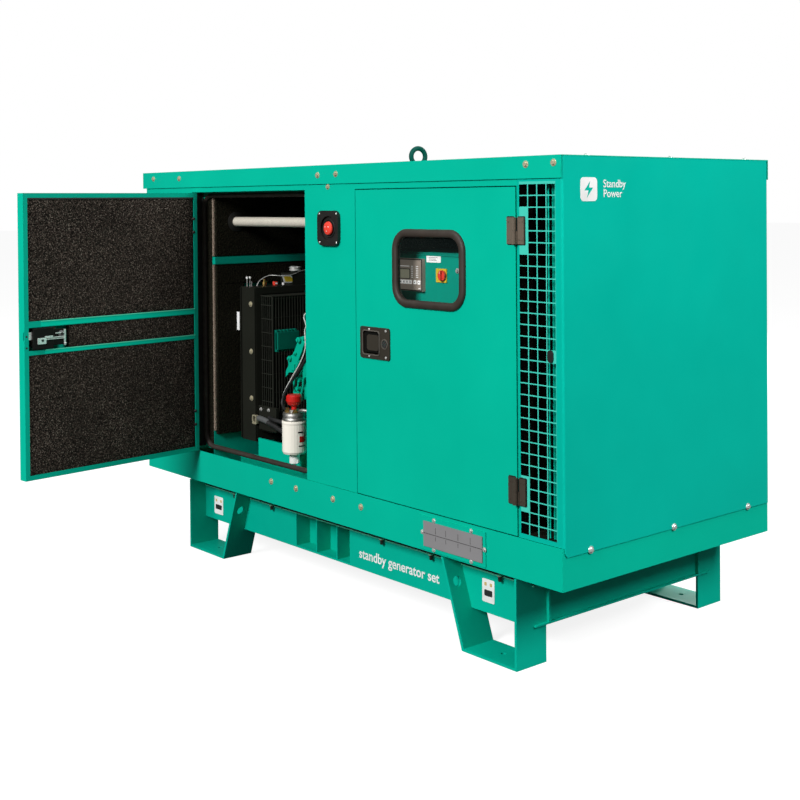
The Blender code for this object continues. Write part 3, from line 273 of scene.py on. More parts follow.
TEAL = (0.0005, 0.47, 0.32)
TEAL_END = (0.0005, 0.455, 0.345)
painted("paint_front", TEAL)
painted("paint_end", TEAL_END, 0.33)
door_paint("door_paint")
grid_paint("grid_paint", (2098.5, -2, 131.5), (2233, 3, 1100))
painted("paint_base", (0.0005, 0.44, 0.31), 0.42, 0.08, 0.15)
# Pale green for painted highlights on folded lips and small edges.
painted("highlight_paint", (0.1, 0.62, 0.42), 0.35, 0.15, 0.3)
painted("paint_inside", (0.0005, 0.33, 0.235), 0.4, 0.12, 0.15)
painted("paint_engine", (0.001, 0.4, 0.26), 0.45, 0.15, 0.15, 0.12)
painted("paint_eye", (0.0012, 0.06, 0.046), 0.5, 0.2, 0.2, 0.12)
painted("paint_black", (0.016, 0.017, 0.013), 0.4, 0.2, 0.2, 0.12)
# The fan guard's wires: black paint made a little paler as a painted highlight.
painted("guard_highlight_paint", (0.028, 0.03, 0.024), 0.42, 0.2, 0.2, 0.15)
painted("paint_shaded", (0.0005, 0.14, 0.095), 0.45, 0.15, 0.15, 0.08)
# Hinge paint; the lower hinges' darker copy is painted shade.
painted("hinge_high", (0.135, 0.108, 0.082), 0.45, 0.15, 0.35, 0.15)
painted("hinge_shaded", (0.058, 0.047, 0.036), 0.45, 0.2, 0.35, 0.15)
painted("latch_coat", (0.04, 0.035, 0.027), 0.38, 0.2, 0.3, 0.15)
painted("latch_rim_coat", (0.11, 0.1, 0.085), 0.36, 0.2, 0.3, 0.15)
painted("latch_dark", (0.007, 0.007, 0.006), 0.38, 0.2, 0.3, 0.15)
painted("plate_coat", (0.25, 0.245, 0.25), 0.5, 0.1, 0.4, 0.1)
painted("canister_paint", (0.98, 0.93, 0.82), 0.34, 0.02, 0.04)
metal("zinc_yellow", (0.72, 0.66, 0.46), 0.34, metallic=0.6)
metal("zinc", (0.8, 0.8, 0.77), 0.3, metallic=0.6)
metal("chrome", (0.75, 0.75, 0.74), 0.16, vary=0.08)
metal("steel", (0.36, 0.36, 0.36), 0.38, (1, 1, 12))
metal("pipe_steel", (0.95, 0.88, 0.75), 0.3, (0.2, 14, 14), 0.06, 0.3)
metal("cast_alloy", (0.46, 0.45, 0.42), 0.46, vary=0.2)
metal("brass", (0.7, 0.48, 0.17), 0.34)
foam("foam_door", (0.0045, 0.0035, 0.0025), (0.044, 0.033, 0.026))
foam("foam_inside", (0.0055, 0.0052, 0.0028), (0.016, 0.015, 0.008), 150.0, (0.022, 0.02, 0.011))
foam("foam_edge", (0.22, 0.16, 0.12), (0.42, 0.33, 0.26), 300.0, (0.45, 0.36, 0.28))
rubber("seal_rubber", (0.028, 0.021, 0.016))
rubber("gasket_rubber", (0.03, 0.021, 0.015))
rubber("black_rubber", (0.004, 0.0035, 0.003))
rubber("hose_rubber", (0.008, 0.008, 0.008))
plastic("black_plastic", (0.01, 0.009, 0.008), 0.5)
plastic("grey_plastic", (0.105, 0.11, 0.11), 0.5)
# The control module's housing and screen glow a little: painted light.
plastic("module_plastic", (0.27, 0.225, 0.185), 0.42, glow=0.3)
plastic("screen_plastic", (0.27, 0.262, 0.19), 0.3, glow=0.45)
plastic("red_plastic", (0.62, 0.014, 0.01), 0.34, coat=0.3)
plastic("signal_red", (0.86, 0.06, 0.036), 0.34, coat=0.2)
plastic("yellow_plastic", (0.8, 0.56, 0.03), 0.4)
plastic("white_plastic", (0.92, 0.93, 0.92), 0.4)
# Key white glows a little, on the module's keys and print and on the panel label: painted light.
plastic("key_white", (0.92, 0.92, 0.9), 0.4, glow=0.35)
plastic("label_white", (0.9, 0.9, 0.88), 0.5, 0.05)
plastic("amber_print", (0.62, 0.44, 0.16), 0.5, 0.05)
plastic("label_dark", (0.02, 0.018, 0.018), 0.5, 0.05)
plastic("cream_plastic", (0.96, 0.94, 0.9), 0.35)
plastic("clear_hose", (0.7, 0.72, 0.68), 0.3)
pane_glass("pane_glass")


# ---------------- mesh helpers
def block(low, high, turn=None):
    """A cuboid between two corners, turned about its own middle if asked."""

    def build(shape):
        a = Vector([min(pair) for pair in zip(low, high)])
        b = Vector([max(pair) for pair in zip(low, high)])
        made = bmesh.ops.create_cube(shape, size=1.0)["verts"]
        bmesh.ops.scale(shape, vec=b - a, verts=made)
        if turn:
            bmesh.ops.transform(shape, matrix=turn, verts=made)
        bmesh.ops.translate(shape, vec=(a + b) / 2, verts=made)

    return build


def rod(start, end, radius, segments=24):
    """A round bar between two points."""

    def build(shape):
        a, b = Vector(start), Vector(end)
        turn = (b - a).to_track_quat("Z", "X").to_matrix().to_4x4()
        bmesh.ops.create_cone(
            shape, cap_ends=True, segments=segments, radius1=radius, radius2=radius, depth=(b - a).length,
            matrix=Matrix.Translation((a + b) / 2) @ turn,
        )

    return build


def bridge(shape, rings, closed=False):
    """Faces between neighbouring rings of vertices, which are loops themselves."""
    pairs = list(zip(rings, rings[1:]))
    if closed:
        pairs.append((rings[-1], rings[0]))
    for first, second in pairs:
        count = max(len(first), len(second))
        for step in range(count):
            after = (step + 1) % count
            spots = ((first, step), (first, after), (second, after), (second, step))
            corners = list(dict.fromkeys(ring[index % len(ring)] for ring, index in spots))
            if len(corners) > 2:
                shape.faces.new(corners)


def row(start, pitch, count):
    return [start + pitch * step for step in range(count)]


def circle(radius, segments):
    for step in range(segments):
        angle = 2 * math.pi * step / segments
        yield radius * math.cos(angle), radius * math.sin(angle)


def lathe(profile, at, segments=32, direction=UP):
    """Rings of (radius, height) pairs about a line; a zero radius closes to a point."""

    def build(shape):
        turn = Vector(direction).to_track_quat("Z", "X").to_matrix()
        rings = []
        for radius, height in profile:
            spots = circle(radius, segments) if radius else [(0, 0)]
            rings.append([shape.verts.new(Vector(at) + turn @ Vector((u, v, height))) for u, v in spots])
        bridge(shape, rings)

    return build


def smooth_path(points, steps):
    """Catmull-Rom points through the given ones."""
    spots = [Vector(point) for point in points]
    spots = [spots[0] * 2 - spots[1], *spots, spots[-1] * 2 - spots[-2]]
    path = []
    for p0, p1, p2, p3 in zip(spots, spots[1:], spots[2:], spots[3:]):
        square = 2 * p0 - 5 * p1 + 4 * p2 - p3
        cube = 3 * p1 - p0 - 3 * p2 + p3
        for t in (step / steps for step in range(steps)):
            path.append(0.5 * (2 * p1 + (p2 - p0) * t + square * t * t + cube * t * t * t))
    path.append(spots[-2])
    return path


def hose(points, radius, steps=6, segments=10, ribs=0.0):
    """A round tube along a smooth path, with ribs if it is a convoluted sleeve."""

    def build(shape):
        path = smooth_path(points, steps)
        rings = []
        side = None
        for index, spot in enumerate(path):
            ahead = (path[min(index + 1, len(path) - 1)] - path[max(index - 1, 0)]).normalized()
            if side is None:
                side = ahead.orthogonal().normalized()
            side = (side - ahead * side.dot(ahead)).normalized()
            other = ahead.cross(side)
            wide = radius * (1 + (ribs if index % 2 else 0.0))
            rings.append([shape.verts.new(spot + side * u + other * v) for u, v in circle(wide, segments)])
        bridge(shape, rings)
        shape.faces.new(rings[0][::-1])
        shape.faces.new(rings[-1])

    return build


def corners(x0, x1, z0, z1, radius, steps):
    """(centre x, centre z, cosine, sine) at each step round a rounded rectangle."""
    for corner_x, corner_z, first in ((x1, z0, -90), (x1, z1, 0), (x0, z1, 90), (x0, z0, 180)):
        centre_x = corner_x - math.copysign(radius, corner_x - (x0 + x1) / 2)
        centre_z = corner_z - math.copysign(radius, corner_z - (z0 + z1) / 2)
        for step in range(steps + 1):
            angle = math.radians(first + 90 * step / steps)
            yield centre_x, centre_z, math.cos(angle), math.sin(angle)


def rounded(x0, x1, z0, z1, radius, steps=3):
    """The outline of a rounded rectangle."""
    return [(x + radius * u, z + radius * v) for x, z, u, v in corners(x0, x1, z0, z1, radius, steps)]


def sheet(outlines, axis, start, end):
    """Flat outlines with holes, thick from start to end along x, y or z."""

    def build(shape):
        def spot(u, v, w):
            return {"x": (w, u, v), "y": (u, w, v), "z": (u, v, w)}[axis]

        edges = []
        for outline in outlines:
            ring = [shape.verts.new(spot(u, v, start)) for u, v in outline]
            edges += [shape.edges.new((a, b)) for a, b in zip(ring, ring[1:] + ring[:1])]
        filled = bmesh.ops.triangle_fill(shape, use_beauty=True, edges=edges)["geom"]
        faces = [item for item in filled if isinstance(item, bmesh.types.BMFace)]
        grown = bmesh.ops.extrude_face_region(shape, geom=faces, use_keep_orig=True)["geom"]
        moved = [item for item in grown if isinstance(item, bmesh.types.BMVert)]
        bmesh.ops.translate(shape, vec=Vector(spot(0, 0, end - start)), verts=moved)

    return build


def moulding(rectangle, radius, profile, steps):
    """A moulding round a rounded rectangle; the profile is (outwards, along y) pairs."""

    def build(shape):
        rings = [
            [shape.verts.new((x + (radius + out) * u, y, z + (radius + out) * v)) for out, y in profile]
            for x, z, u, v in corners(*rectangle, radius, steps)
        ]
        bridge(shape, rings, closed=True)

    return build


def swollen(x0, x1, z0, z1, face, depth, toward, hole=None, step=12):
    """A foam sheet whose face, along y, swells between its tucked edges."""

    def build(shape):
        across, up = (max(2, round(span / step)) for span in (x1 - x0, z1 - z0))
        rows = []
        for z in (z0 + (z1 - z0) * j / up for j in range(up + 1)):
            row = []
            for x in (x0 + (x1 - x0) * i / across for i in range(across + 1)):
                sink = 2.8 * math.exp(-min(x - x0, x1 - x, z - z0, z1 - z) / 6)
                wave = 1.4 * noise.noise(Vector((x * 9, face * 5, z * 9)) * MM)
                wave += 0.7 * noise.noise(Vector((x * 70 * MM, 3.0, z * 70 * MM)))
                row.append(shape.verts.new((x, face - toward * (sink + abs(wave)), z)))
            rows.append(row)
        for lower, upper in zip(rows, rows[1:]):
            for a, b, c, d in zip(lower, lower[1:], upper[1:], upper):
                middle = (a.co + c.co) / 2
                if hole and hole[0] < middle.x < hole[1] and hole[2] < middle.z < hole[3]:
                    continue
                shape.faces.new((a, b, c, d))
        loose = [vertex for vertex in shape.verts if not vertex.link_faces]
        bmesh.ops.delete(shape, geom=loose, context="VERTS")
        rim = [edge for edge in shape.edges if edge.is_boundary]
        for item in bmesh.ops.extrude_edge_only(shape, edges=rim)["geom"]:
            if isinstance(item, bmesh.types.BMVert):
                item.co.y = face - toward * depth

    return build


def bolt(at, size, direction=FRONT, height=5.5):
    """A flanged hexagon bolt head with a chamfered crown."""
    flange = [(0, 0), (size * 1.55, 0), (size * 1.45, 1.4), (size * 0.9, 1.6)]
    head = [(size, 1.6), (size, height * 0.8), (size * 0.84, height), (0, height)]

    def build(shape):
        lathe(flange, at, 20, direction)(shape)
        lathe(head, at, 6, direction)(shape)

    return build


def screw(at, size, height):
    """A domed screw head with a shallow socket, facing the front."""
    crown = [(1, 0.45), (0.8, 0.9), (0.45, 1), (0.38, 0.45), (0, 0.4)]
    return lathe([(size, -0.3), *((size * u, height * v) for u, v in crown)], at, 16, FRONT)


def finish(mesh, made, width, angle):
    """Smooth faces with sharp creases, and softened edges if a width is given."""
    mesh.shade_smooth()
    mesh.set_sharp_from_angle(angle=math.radians(angle))
    if width:
        edges = made.modifiers.new("edges", "BEVEL")
        edges.width = width * MM
        edges.segments = 2
        edges.limit_method = "ANGLE"
        edges.angle_limit = math.radians(angle)
        edges.harden_normals = True


def piece(name, look, *solids, on=BASE, bevel=0.0, angle=35, stands_for=None):
    """One named piece: its solids are built in enclosure coordinates, doors shut."""
    shape = bmesh.new()
    for solid in solids:
        solid(shape)
    bmesh.ops.recalc_face_normals(shape, faces=shape.faces)
    mesh = bpy.data.meshes.new(name)
    shape.to_mesh(mesh)
    shape.free()
    mesh.transform(LEFT_OPEN @ PLACE if on in ON_LEFT_DOOR else PLACE)
    mesh.materials.append(LOOKS[look])
    made = bpy.data.objects.new(name, mesh)
    bpy.context.scene.collection.objects.link(made)
    finish(mesh, made, bevel, angle)
    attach(made, on)
    if stands_for:
        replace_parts(made, stands_for)
    return made


def dress(look, bevel, *names):
    """A finish, and softened edges, for solids that keep their shape."""
    for name in names:
        solid = nodes[name]
        for item in solid.material_slots:
            item.material = LOOKS[look]
        finish(solid.data, solid, bevel, 35)


def named(words):
    """The CAD nodes whose names hold these words."""
    return [name for name in nodes if words in name]


# ---------------- finishes of the solids
dress("paint_front", 0.9, "front_frame", "roof", "right_door", "base_tray")
dress("door_paint", 0.9, "left_door")
dress("grid_paint", 0.6, "right_end_panel")
dress("paint_end", 0.9, "left_end_panel", "rear_frame", "rear_left_door", "rear_right_door")
dress("paint_base", 1.2, "base_frame")
dress("paint_base", 1.5, "fuel_tank", "lifting_frame")
dress("paint_inside", 1.2, "radiator_baffle", "control_box")
dress("plate_coat", 0.6, "gland_plate")
dress("hinge_high", 0.7, *named("upper_hinge"))
dress("hinge_shaded", 0.7, *named("lower_hinge"))
dress("latch_coat", 0.8, *named("latch_housing"))
dress("latch_dark", 0.8, *named("paddle"))
dress("chrome", 0.5, "left_latch_key", "right_latch_key")
dress("zinc", 0.6, "left_latch_tongue", "right_latch_tongue")
dress("pane_glass", 0, "window_pane")
dress("black_plastic", 1.5, "stop_housing")
dress("red_plastic", 0.8, "primer_button")
dress("signal_red", 0.8, "stop_button", "isolator_knob")
dress("module_plastic", 1.2, "control_module")
dress("yellow_plastic", 0.6, "isolator_plate")
dress("paint_black", 1.5, "radiator")
dress("zinc", 0.5, "radiator_cap")
dress("paint_engine", 3, "engine", "alternator")
dress("steel", 0.8, "crankshaft_rotor", "charging_pulley")
dress("black_plastic", 0.8, "fan")
dress("cast_alloy", 1.5, "charging_alternator", "filter_head")
dress("hose_rubber", 0.8, "fan_belt")
dress("pipe_steel", 1.2, "exhaust")
dress("canister_paint", 1, "filter_canister")
dress("cream_plastic", 0.6, "filter_drain")

# ---------------- bolts and fixings
piece(
    "fascia_bolts", "zinc_yellow",
    *[
        bolt((x, -4.5 if z > 1108 else 0, z), 6.8)
        for x, z in ((84, 1145), (282, 1143), (1173, 1137), (1271.5, 1139), (2128, 1147), (2231.5, 1149))
    ],
    bolt((1223, 0, 1098.5), 6.2),
)
piece("skirt_bolts", "zinc_yellow", *[bolt((x, -3, 76), 7.2) for x in (885, 1033, 1241, 1388)])
piece(
    "gland_plate_bolts", "zinc",
    *[
        bolt((x, -6.5, z), 4.6, height=4)
        for x, z in ((1742, 99), (1903, 99), (1690, 56), (1958, 56), (1741, 11.2), (1903, 11.2))
    ],
)
piece("end_panel_bolts", "zinc", *[bolt((LENGTH, y, 96), 6.8, END) for y in (107, 470, 836)])
piece("roof_studs", "zinc", *[bolt((x, y, 1170), 5.8, UP) for x in (2240, 30) for y in (117, 483, 850)])
piece(
    "rear_fascia_bolts", "zinc_yellow",
    *[bolt((x, WIDTH + 8, 1143), 6.8, REAR) for x in (84, 282, 1173, 1271.5, 2128, 2231.5)],
    *[bolt((x, WIDTH + 3, 76.7), 6.8, REAR) for x in (877.5, 1026, 1234, 1380)],
)
# The gland plate is split, with short scored lines for cable entries.
piece(
    "gland_plate_lines", "black_plastic", block((1698.2, -10.3, 55.8), (1950.8, -9.9, 57.2)),
    *[
        block((x, -10.3, low), (x + 1.2, -9.9, high)) for low, high in ((61, 80), (40, 52))
        for x in (1752, 1797, 1850, 1902)
    ],
)
# Rail top edge: a black strip of painted shadow under the tray, a folded lip in pale paint as a painted
# highlight, and the bolts under it.
RAIL_BOLTS = (303, 560, 801, 1420, 1658, 1957)
for side, face, out in (("front", 66, -1), ("rear", WIDTH - 66, 1)):
    for name, look, low, high, deep, bevel in (
        ("joint", "black_rubber", -33, -6, 1.2, 0), ("lip", "highlight_paint", -36.8, -33.2, 4, 0.8),
    ):
        strip = block((RAIL_START, face + out * 0.2, low), (RAIL_STOP, face + out * deep, high))
        piece(f"{side}_rail_{name}", look, strip, bevel=bevel)
    piece(
        side + "_rail_bolts", "black_plastic",
        *[rod((x, face + out * 11, -32), (x, face + out * 11, -47), 5.6, segments=6) for x in RAIL_BOLTS],
        bevel=1,
    )
    piece(
        side + "_rail_washers", "zinc_yellow",
        *[lathe([(0, 0), (8, 0), (8, 2.6), (0, 2.6)], (x, face + out * 11, -32), 16) for x in RAIL_BOLTS],
    )
    piece(
        side + "_rail_clips", "highlight_paint",
        *[block((x - 9.5, face + out * 0.2, -29.4), (x + 9.5, face + out * 19, -27.6)) for x in RAIL_BOLTS],
    )


def hinge_details(name, body, axis_x, side):
    """Countersunk screws, and black strips of painted shade: in the groove beside the knuckle and round
    each leaf.
    """
    for level, low, look in (("lower", 207, "hinge_shaded"), ("upper", 928, "hinge_high")):
        screws = [
            screw((axis_x + side * reach, -4.5, low + up), 3, 1.2) for reach in (15, 26.5)
            for up in (12, 62)
        ]
        piece(f"{name}_{level}_screws", look, *screws, on=body)
        groove_shade = sorted((axis_x + side * 8, axis_x + side * 9.6))
        rim = sorted((axis_x + side * 6, axis_x + side * 35.8))
        piece(
            f"{name}_{level}_shade_lines", "black_rubber",
            block((groove_shade[0], -5.4, low + 1), (groove_shade[1], -3.5, low + 73)),
            sheet([rounded(*rim, low - 3, low + 77, 4, 4)], "y", -0.9, -0.2), on=body,
        )


hinge_details("left_hinge_frame", BASE, 370, -1)
hinge_details("left_hinge_door", LEFT, 370, 1)
hinge_details("right_hinge_frame", BASE, 2086, 1)
hinge_details("right_hinge_door", RIGHT, 2086, -1)

for prefix, body, edge, side in (("left", LEFT, 1091.5, 1), ("right", RIGHT, 1368.5, -1)):
    near = edge - side * 24
    spots = [(near - side * reach, z) for reach in (46, 128) for z in (563.5, 646.5)]
    piece(prefix + "_latch_screws", "zinc", *[screw((x, -4, z), 4.2, 1.8) for x, z in spots], on=body)
    # The moulded rim round the hand recess and the ring round the key.
    piece(
        prefix + "_latch_rim", "latch_rim_coat",
        moulding(
            (*sorted((near - side * 16, near - side * 96)), 569, 641), 8,
            [(0, -3.8), (3.5, -3.8), (3.5, -6.2), (1.8, -7.2), (0, -6.2)], 4,
        ),
        angle=50, on=body,
    )
    ring = [(12.5, -0.5), (16.5, -0.5), (16, 1.8), (13, 2.2), (12.5, -0.5)]
    piece(
        prefix + "_key_ring", "latch_rim_coat", lathe(ring, (near - side * 122, -4, 605), 28, FRONT),
        on=body,
    )
    grip = rounded(*sorted((near - side * 30, near - side * 88)), 580, 630, 10, 4)
    piece(
        prefix + "_paddle_grip", "latch_coat", sheet([grip], "y", -1.2, 1.4), on=prefix + "_paddle",
        bevel=0.8,
    )

# ---------------- window
piece(
    "window_gasket_moulding", "gasket_rubber",
    moulding(
        (1579.5, 1857, 750, 940), 40,
        [
            (0, -0.8), (1, -6), (4, -9), (10, -10.2), (18, -9.6), (22.5, -7.2), (24.7, -3.4), (24.7, -0.4),
            (7.5, -0.4), (7.2, 5), (10, 6.2), (10, 10), (3.4, 10.4), (2.8, 5.2), (2, 5), (2, 0),
        ],
        8,
    ),
    angle=50, stands_for="window_gasket", on=RIGHT,
)

# ---------------- control panel
piece(
    "module_bezel", "label_dark",
    sheet([rounded(1449.5, 1601.5, 769.5, 869.5, 4), rounded(1453, 1598, 773, 866, 3)], "y", 75.7, 77.7),
    bevel=0.5,
)
piece("module_screen", "screen_plastic", sheet([rounded(1478, 1542, 808, 836, 3)], "y", 76.8, 77.6))
piece(
    "module_screen_frame", "label_dark",
    sheet([rounded(1476, 1544, 806, 838, 3), rounded(1478, 1542, 808, 836, 2)], "y", 76.2, 77.7),
)
marks = [block((1488, 76.6, 845), (1540, 77.6, 847)), block((1584, 76.6, 776.5), (1593, 77.6, 778.5))]
for column, x in enumerate((1550, 1572.5)):
    for step, z in enumerate(row(811, 5.7, 7)):
        reach = 7 + 3 * ((step * 3 + column) % 3)
        marks.append(block((x, 76.6, z), (x + reach, 77.6, z + 1.7)))
piece("module_print", "key_white", *marks)
keys = (*row(1486, 15, 5), 1568, 1587)
piece(
    "module_keys", "key_white",
    *[sheet([rounded(x - 6.2, x + 6.2, 790.5, 803, 2)], "y", 75.2, 77.7) for x in keys], bevel=0.5,
)
piece(
    "module_key_marks", "label_dark", *[rod((x, 75, 796.7), (x, 75.4, 796.7), 2, segments=8) for x in keys],
)
piece("module_screws", "zinc", *[screw((x, 77.5, z), 2.6, 2) for x in (1455.5, 1595.5) for z in (774, 865)])
piece("panel_label", "key_white", sheet([rounded(1609, 1674, 860, 883, 2, 2)], "y", 88.8, 89.9))
piece(
    "panel_label_lines", "label_dark",
    *[block((1620, 88.4, z), (end, 88.9, z + 1.1)) for z, end in ((874.5, 1660), (870, 1652), (866, 1656))],
)
piece(
    "isolator_pointer", "white_plastic", block((KNOB_X - 0.8, 71.9, 827), (KNOB_X + 0.8, 72.7, 835)),
    on="isolator_knob_body",
)
piece(
    "panel_nuts", "zinc", bolt((1749, 90, 838), 5.5), bolt((1749, 90, 700), 5.5),
    bolt((1455, 90, 700), 5.5),
)
piece(
    "panel_edge", "paint_inside",
    sheet([rounded(1425, 1795, 635, 886, 10, 4), rounded(1431, 1789, 641, 880, 8, 4)], "y", 87.5, 90.2),
    bevel=0.6,
)

# ---------------- emergency stop
piece(
    "stop_screws", "zinc",
    *[screw((x, -12, z), 3.6, 1.2) for x in (1191.5, 1282.5) for z in (916.5, 1010.5)],
)
piece(
    "stop_collar", "black_rubber",
    lathe(
        [(27, 0), (31, 0), (30.6, 2.2), (28.5, 3), (27, 2.2), (27, 0)], (STOP_X, -4.6, STOP_Z), 28, FRONT,
    ),
)


def arrow(turn):
    """A short bar on the stop button, across the radius at the given angle."""
    x, z = STOP_X + 9.5 * math.cos(turn), STOP_Z + 9.5 * math.sin(turn)
    tilt = Matrix.Rotation(-(turn + math.pi / 2), 4, "Y")
    return block((x - 2.6, -17.8, z - 0.7), (x + 2.6, -16.4, z + 0.7), tilt)


arrows = [arrow(math.radians(turn)) for turn in (30, 150, 270)]
piece("stop_arrows", "white_plastic", *arrows, on="stop_button_body")

# ---------------- lifting eye
EYE_X, EYE_TURN = 1133, math.radians(10)
piece(
    "lifting_eye_forging", "paint_eye",
    lathe([(0, 9.7), (15, 9.6), (18.5, 6), (19, 0.6), (0, 0.6)], (EYE_X, ENGINE_Y, 1170)),
    lathe(
        [(28.8 + u, v) for u, v in (*circle(8.7, 16), (8.7, 0))], (EYE_X, ENGINE_Y, 1208.7), 40,
        (math.cos(EYE_TURN), -math.sin(EYE_TURN), 0),
    ),
    rod((EYE_X, ENGINE_Y, 1120), (EYE_X, ENGINE_Y, 1176), 11.2), stands_for="lifting_eye",
)

# ---------------- door seals
seal_profile = [
    (5, 47), (-1.2, 51.2), (-1.4, 47), (-0.4, 43), (4, 39.2), (8.2, 37.6), (12.4, 39.2), (15.2, 42.5),
    (15.2, 46.5),
]
for name, rectangle in (
    ("left_door_seal", (385, 1062, 135, 1069)), ("right_door_seal", (1390, 2069, 135, 1069)),
):
    piece(
        name + "_tube", "seal_rubber", moulding(rectangle, 45, seal_profile, 8), angle=60, stands_for=name,
    )

# Black strips on the left door pocket's side wall: painted shade.
piece(
    "left_pocket_shade", "black_rubber", block((368, 4, 125), (371.2, 46.5, 1086)),
    block((371, 42, 125), (375, 46.8, 1086)), bevel=0.8,
)

# ---------------- acoustic foam


def foam_panel(name, on, x0, x1, z0, z1, face, look="foam_door", depth=20, toward=-1, **details):
    """Foam on a door or a wall; toward is 1 where it looks to the rear and -1 to the front."""
    return piece(name, look, swollen(x0, x1, z0, z1, face, depth, toward, **details), on=on, angle=60)


LOWER, MIDDLE, UPPER = (135, 539.5), (556, 632.5), (654.5, 1070)
WINDOW_HOLE = (1526, 1910, 698, 992)
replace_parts(foam_panel("left_foam_upper", LEFT, 389.5, 1075, *UPPER, 35.2, toward=1), "left_door_foam")
foam_panel("left_foam_lower", LEFT, 389.5, 1075, *LOWER, 35.2, toward=1)
foam_panel("left_foam_middle", LEFT, 389.5, 920, *MIDDLE, 34.5, toward=1)
upper = foam_panel("right_foam_upper", RIGHT, 1385, 2067, *UPPER, 34.5, toward=1, hole=WINDOW_HOLE)
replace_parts(upper, "right_door_foam")
foam_panel("right_foam_lower", RIGHT, 1385, 2067, *LOWER, 34.5, toward=1)
foam_panel("right_foam_middle", RIGHT, 1550, 2067, *MIDDLE, 34.5, toward=1)
for side, x0, x1 in (("left", 389.5, 1075), ("right", 1385, 2067)):
    for level, span in (("lower", LOWER), ("middle", MIDDLE), ("upper", UPPER)):
        name = f"rear_{side}_foam_{level}"
        foam_panel(name, f"rear_{side}_door_body", x0, x1, *span, WIDTH - 35, step=30)
for name, x0, x1 in (("column", 1070, 1104), ("column_right", 1166, 1382), ("chamber", 30, 378)):
    foam_panel("rear_lining_" + name, BASE, x0, x1, 125, 1095, 885, "foam_inside", 4, step=30)
# Stiffening rails whose lips carry a painted highlight, a black strip of painted shadow over the foam, and
# the hinge nuts inside the left door.
piece(
    "door_rail_faces", "paint_front", block((387, 35, 634.8), (1029, 36.4, 652)),
    block((387, 35, 541.6), (1016, 36.4, 553.5)), bevel=0.5, on=LEFT,
)
piece(
    "door_rail_lips", "highlight_paint", block((387, 35, 651.5), (1029, 38.5, 654)),
    block((387, 35, 553.2), (1016, 38.5, 555.5)), bevel=0.6, on=LEFT,
)
piece("door_foam_shadow", "black_rubber", block((389.5, 34, 1065), (1075, 35.8, 1070.5)), on=LEFT)
piece(
    "door_hinge_nuts", "black_rubber",
    *[lathe([(0, 4), (4, 3.4), (6.2, 0), (0, 0)], (387.5, 35, z), 16, REAR) for z in (940, 990, 219, 269)],
    on=LEFT,
)
# Linings on the fixed walls, seen through the open doors.
for name, low, high, bevel in (
    ("roof_lining_left", (30, 60, 1136), (1100, 880, 1164), 4),
    ("roof_lining_right", (1170, 60, 1136), (2240, 880, 1164), 4),
    ("left_end_lining", (24, 60, 780), (50, 430, 1130), 4),
    ("left_end_lining_rear", (24, 515, 780), (50, 880, 1130), 4),
    ("baffle_lining", (425.5, 60, 172), (441, 184, 739.7), 4),
    ("baffle_lining_rear", (425.5, 790, 125), (441, 870, 814), 4),
    ("baffle_lining_top", (425.8, 60, 740), (441, 880, 814), 4),
    ("front_corner_lining", (366, 51.2, 118), (423.5, 60, 1104), 2),
    ("end_lining", (2225, 60, 120), (2252, 880, 1120), 4),
    ("inlet_baffle", (2075, 56, 120), (2088, 620, 1125), 4),
    ("inlet_floor", (2097, 6, 118), (2222, 300, 124), 4),
    ("vent_pocket_lining", (2092, 3.4, 119.5), (2096, 55.5, 1104), 1),
):
    piece(name, "foam_inside", block(low, high), bevel=bevel)
PIPE_Y, PIPE_Z = 150, 977
wall = [(60, 848), (880, 848), (880, 1155), (60, 1155)]
pipe_hole = [(PIPE_Y + u, PIPE_Z + v) for u, v in circle(30, 24)]
piece("baffle_lining_high", "foam_inside", sheet([wall, pipe_hole], "x", 425.6, 441), bevel=2)
grommet = [(18.5, 0), (38, 0), (38, 1.5), (36, 2.5), (20, 3), (18.5, 0)]
piece("pipe_grommet", "black_rubber", lathe(grommet, (441, PIPE_Y, PIPE_Z), 40, END))
piece(
    "foam_edge_strip", "foam_edge", block((424, 51.2, 847), (434.5, 59.6, 1080)),
    block((424, 51.2, 187), (434.5, 59.6, 815)), bevel=2,
)

# ---------------- ventilation grid
piece(
    "vent_plug", "black_plastic", sheet([rounded(2203.5, 2224, 611.5, 645, 10, 6)], "y", -4.5, -0.3),
    bevel=1.6,
)
# Upright strips behind the grid; the darker one, a stiffener's side face, is painted shade.
for name, look, x0, x1, y0 in (
    ("1", "paint_base", 2177, 2181.5, 30), ("2", "paint_base", 2194, 2199, 29),
    ("web", "paint_inside", 2199, 2206, 30),
):
    y1 = y0 + (2 if name == "web" else 3)
    piece("vent_stiffener_" + name, look, block((x0, y0, 126), (x1, y1, 1100)))

# ---------------- radiator and guard
piece("radiator_bolts", "zinc_yellow", *[bolt((527, 155, z), 6.8) for z in (666, 487, 310)])
piece(
    "radiator_side_flange", "paint_black", block((464, 148, 155), (467, 155.2, 728)),
    block((559, 148, 155), (562, 155.2, 728)), bevel=0.6,
)
bars = [block((x, y, 192), (x + 2.2, y + 2.2, 698)) for x in row(569, 12.8, 6) for y in (176, 764.8)]
bars += [block((565, y, z), (641.5, y + 2, z + 2)) for z in row(200, 51.5, 10) for y in (175.6, 765.4)]
bars += [block((639.2, y, 192), (641.6, y + 2.2, 698)) for y in row(178, 12.4, 48)]
bars += [block((637.8, 176, z), (640, 767, z + 2.2)) for z in row(199, 70, 8)]
bars += [block((564, 175, z), (642, 768, z + 3)) for z in (190, 697)]
bars += [block((639, y, 190), (642, y + 3, 700)) for y in (175, 765)]
piece("fan_guard_wires", "guard_highlight_paint", *bars, stands_for="fan_guard")
piece(
    "radiator_core_fins", "paint_black",
    *[block((563, y, 180), (564, y + 1.5, 705)) for y in row(200, 13.5, 41)],
)
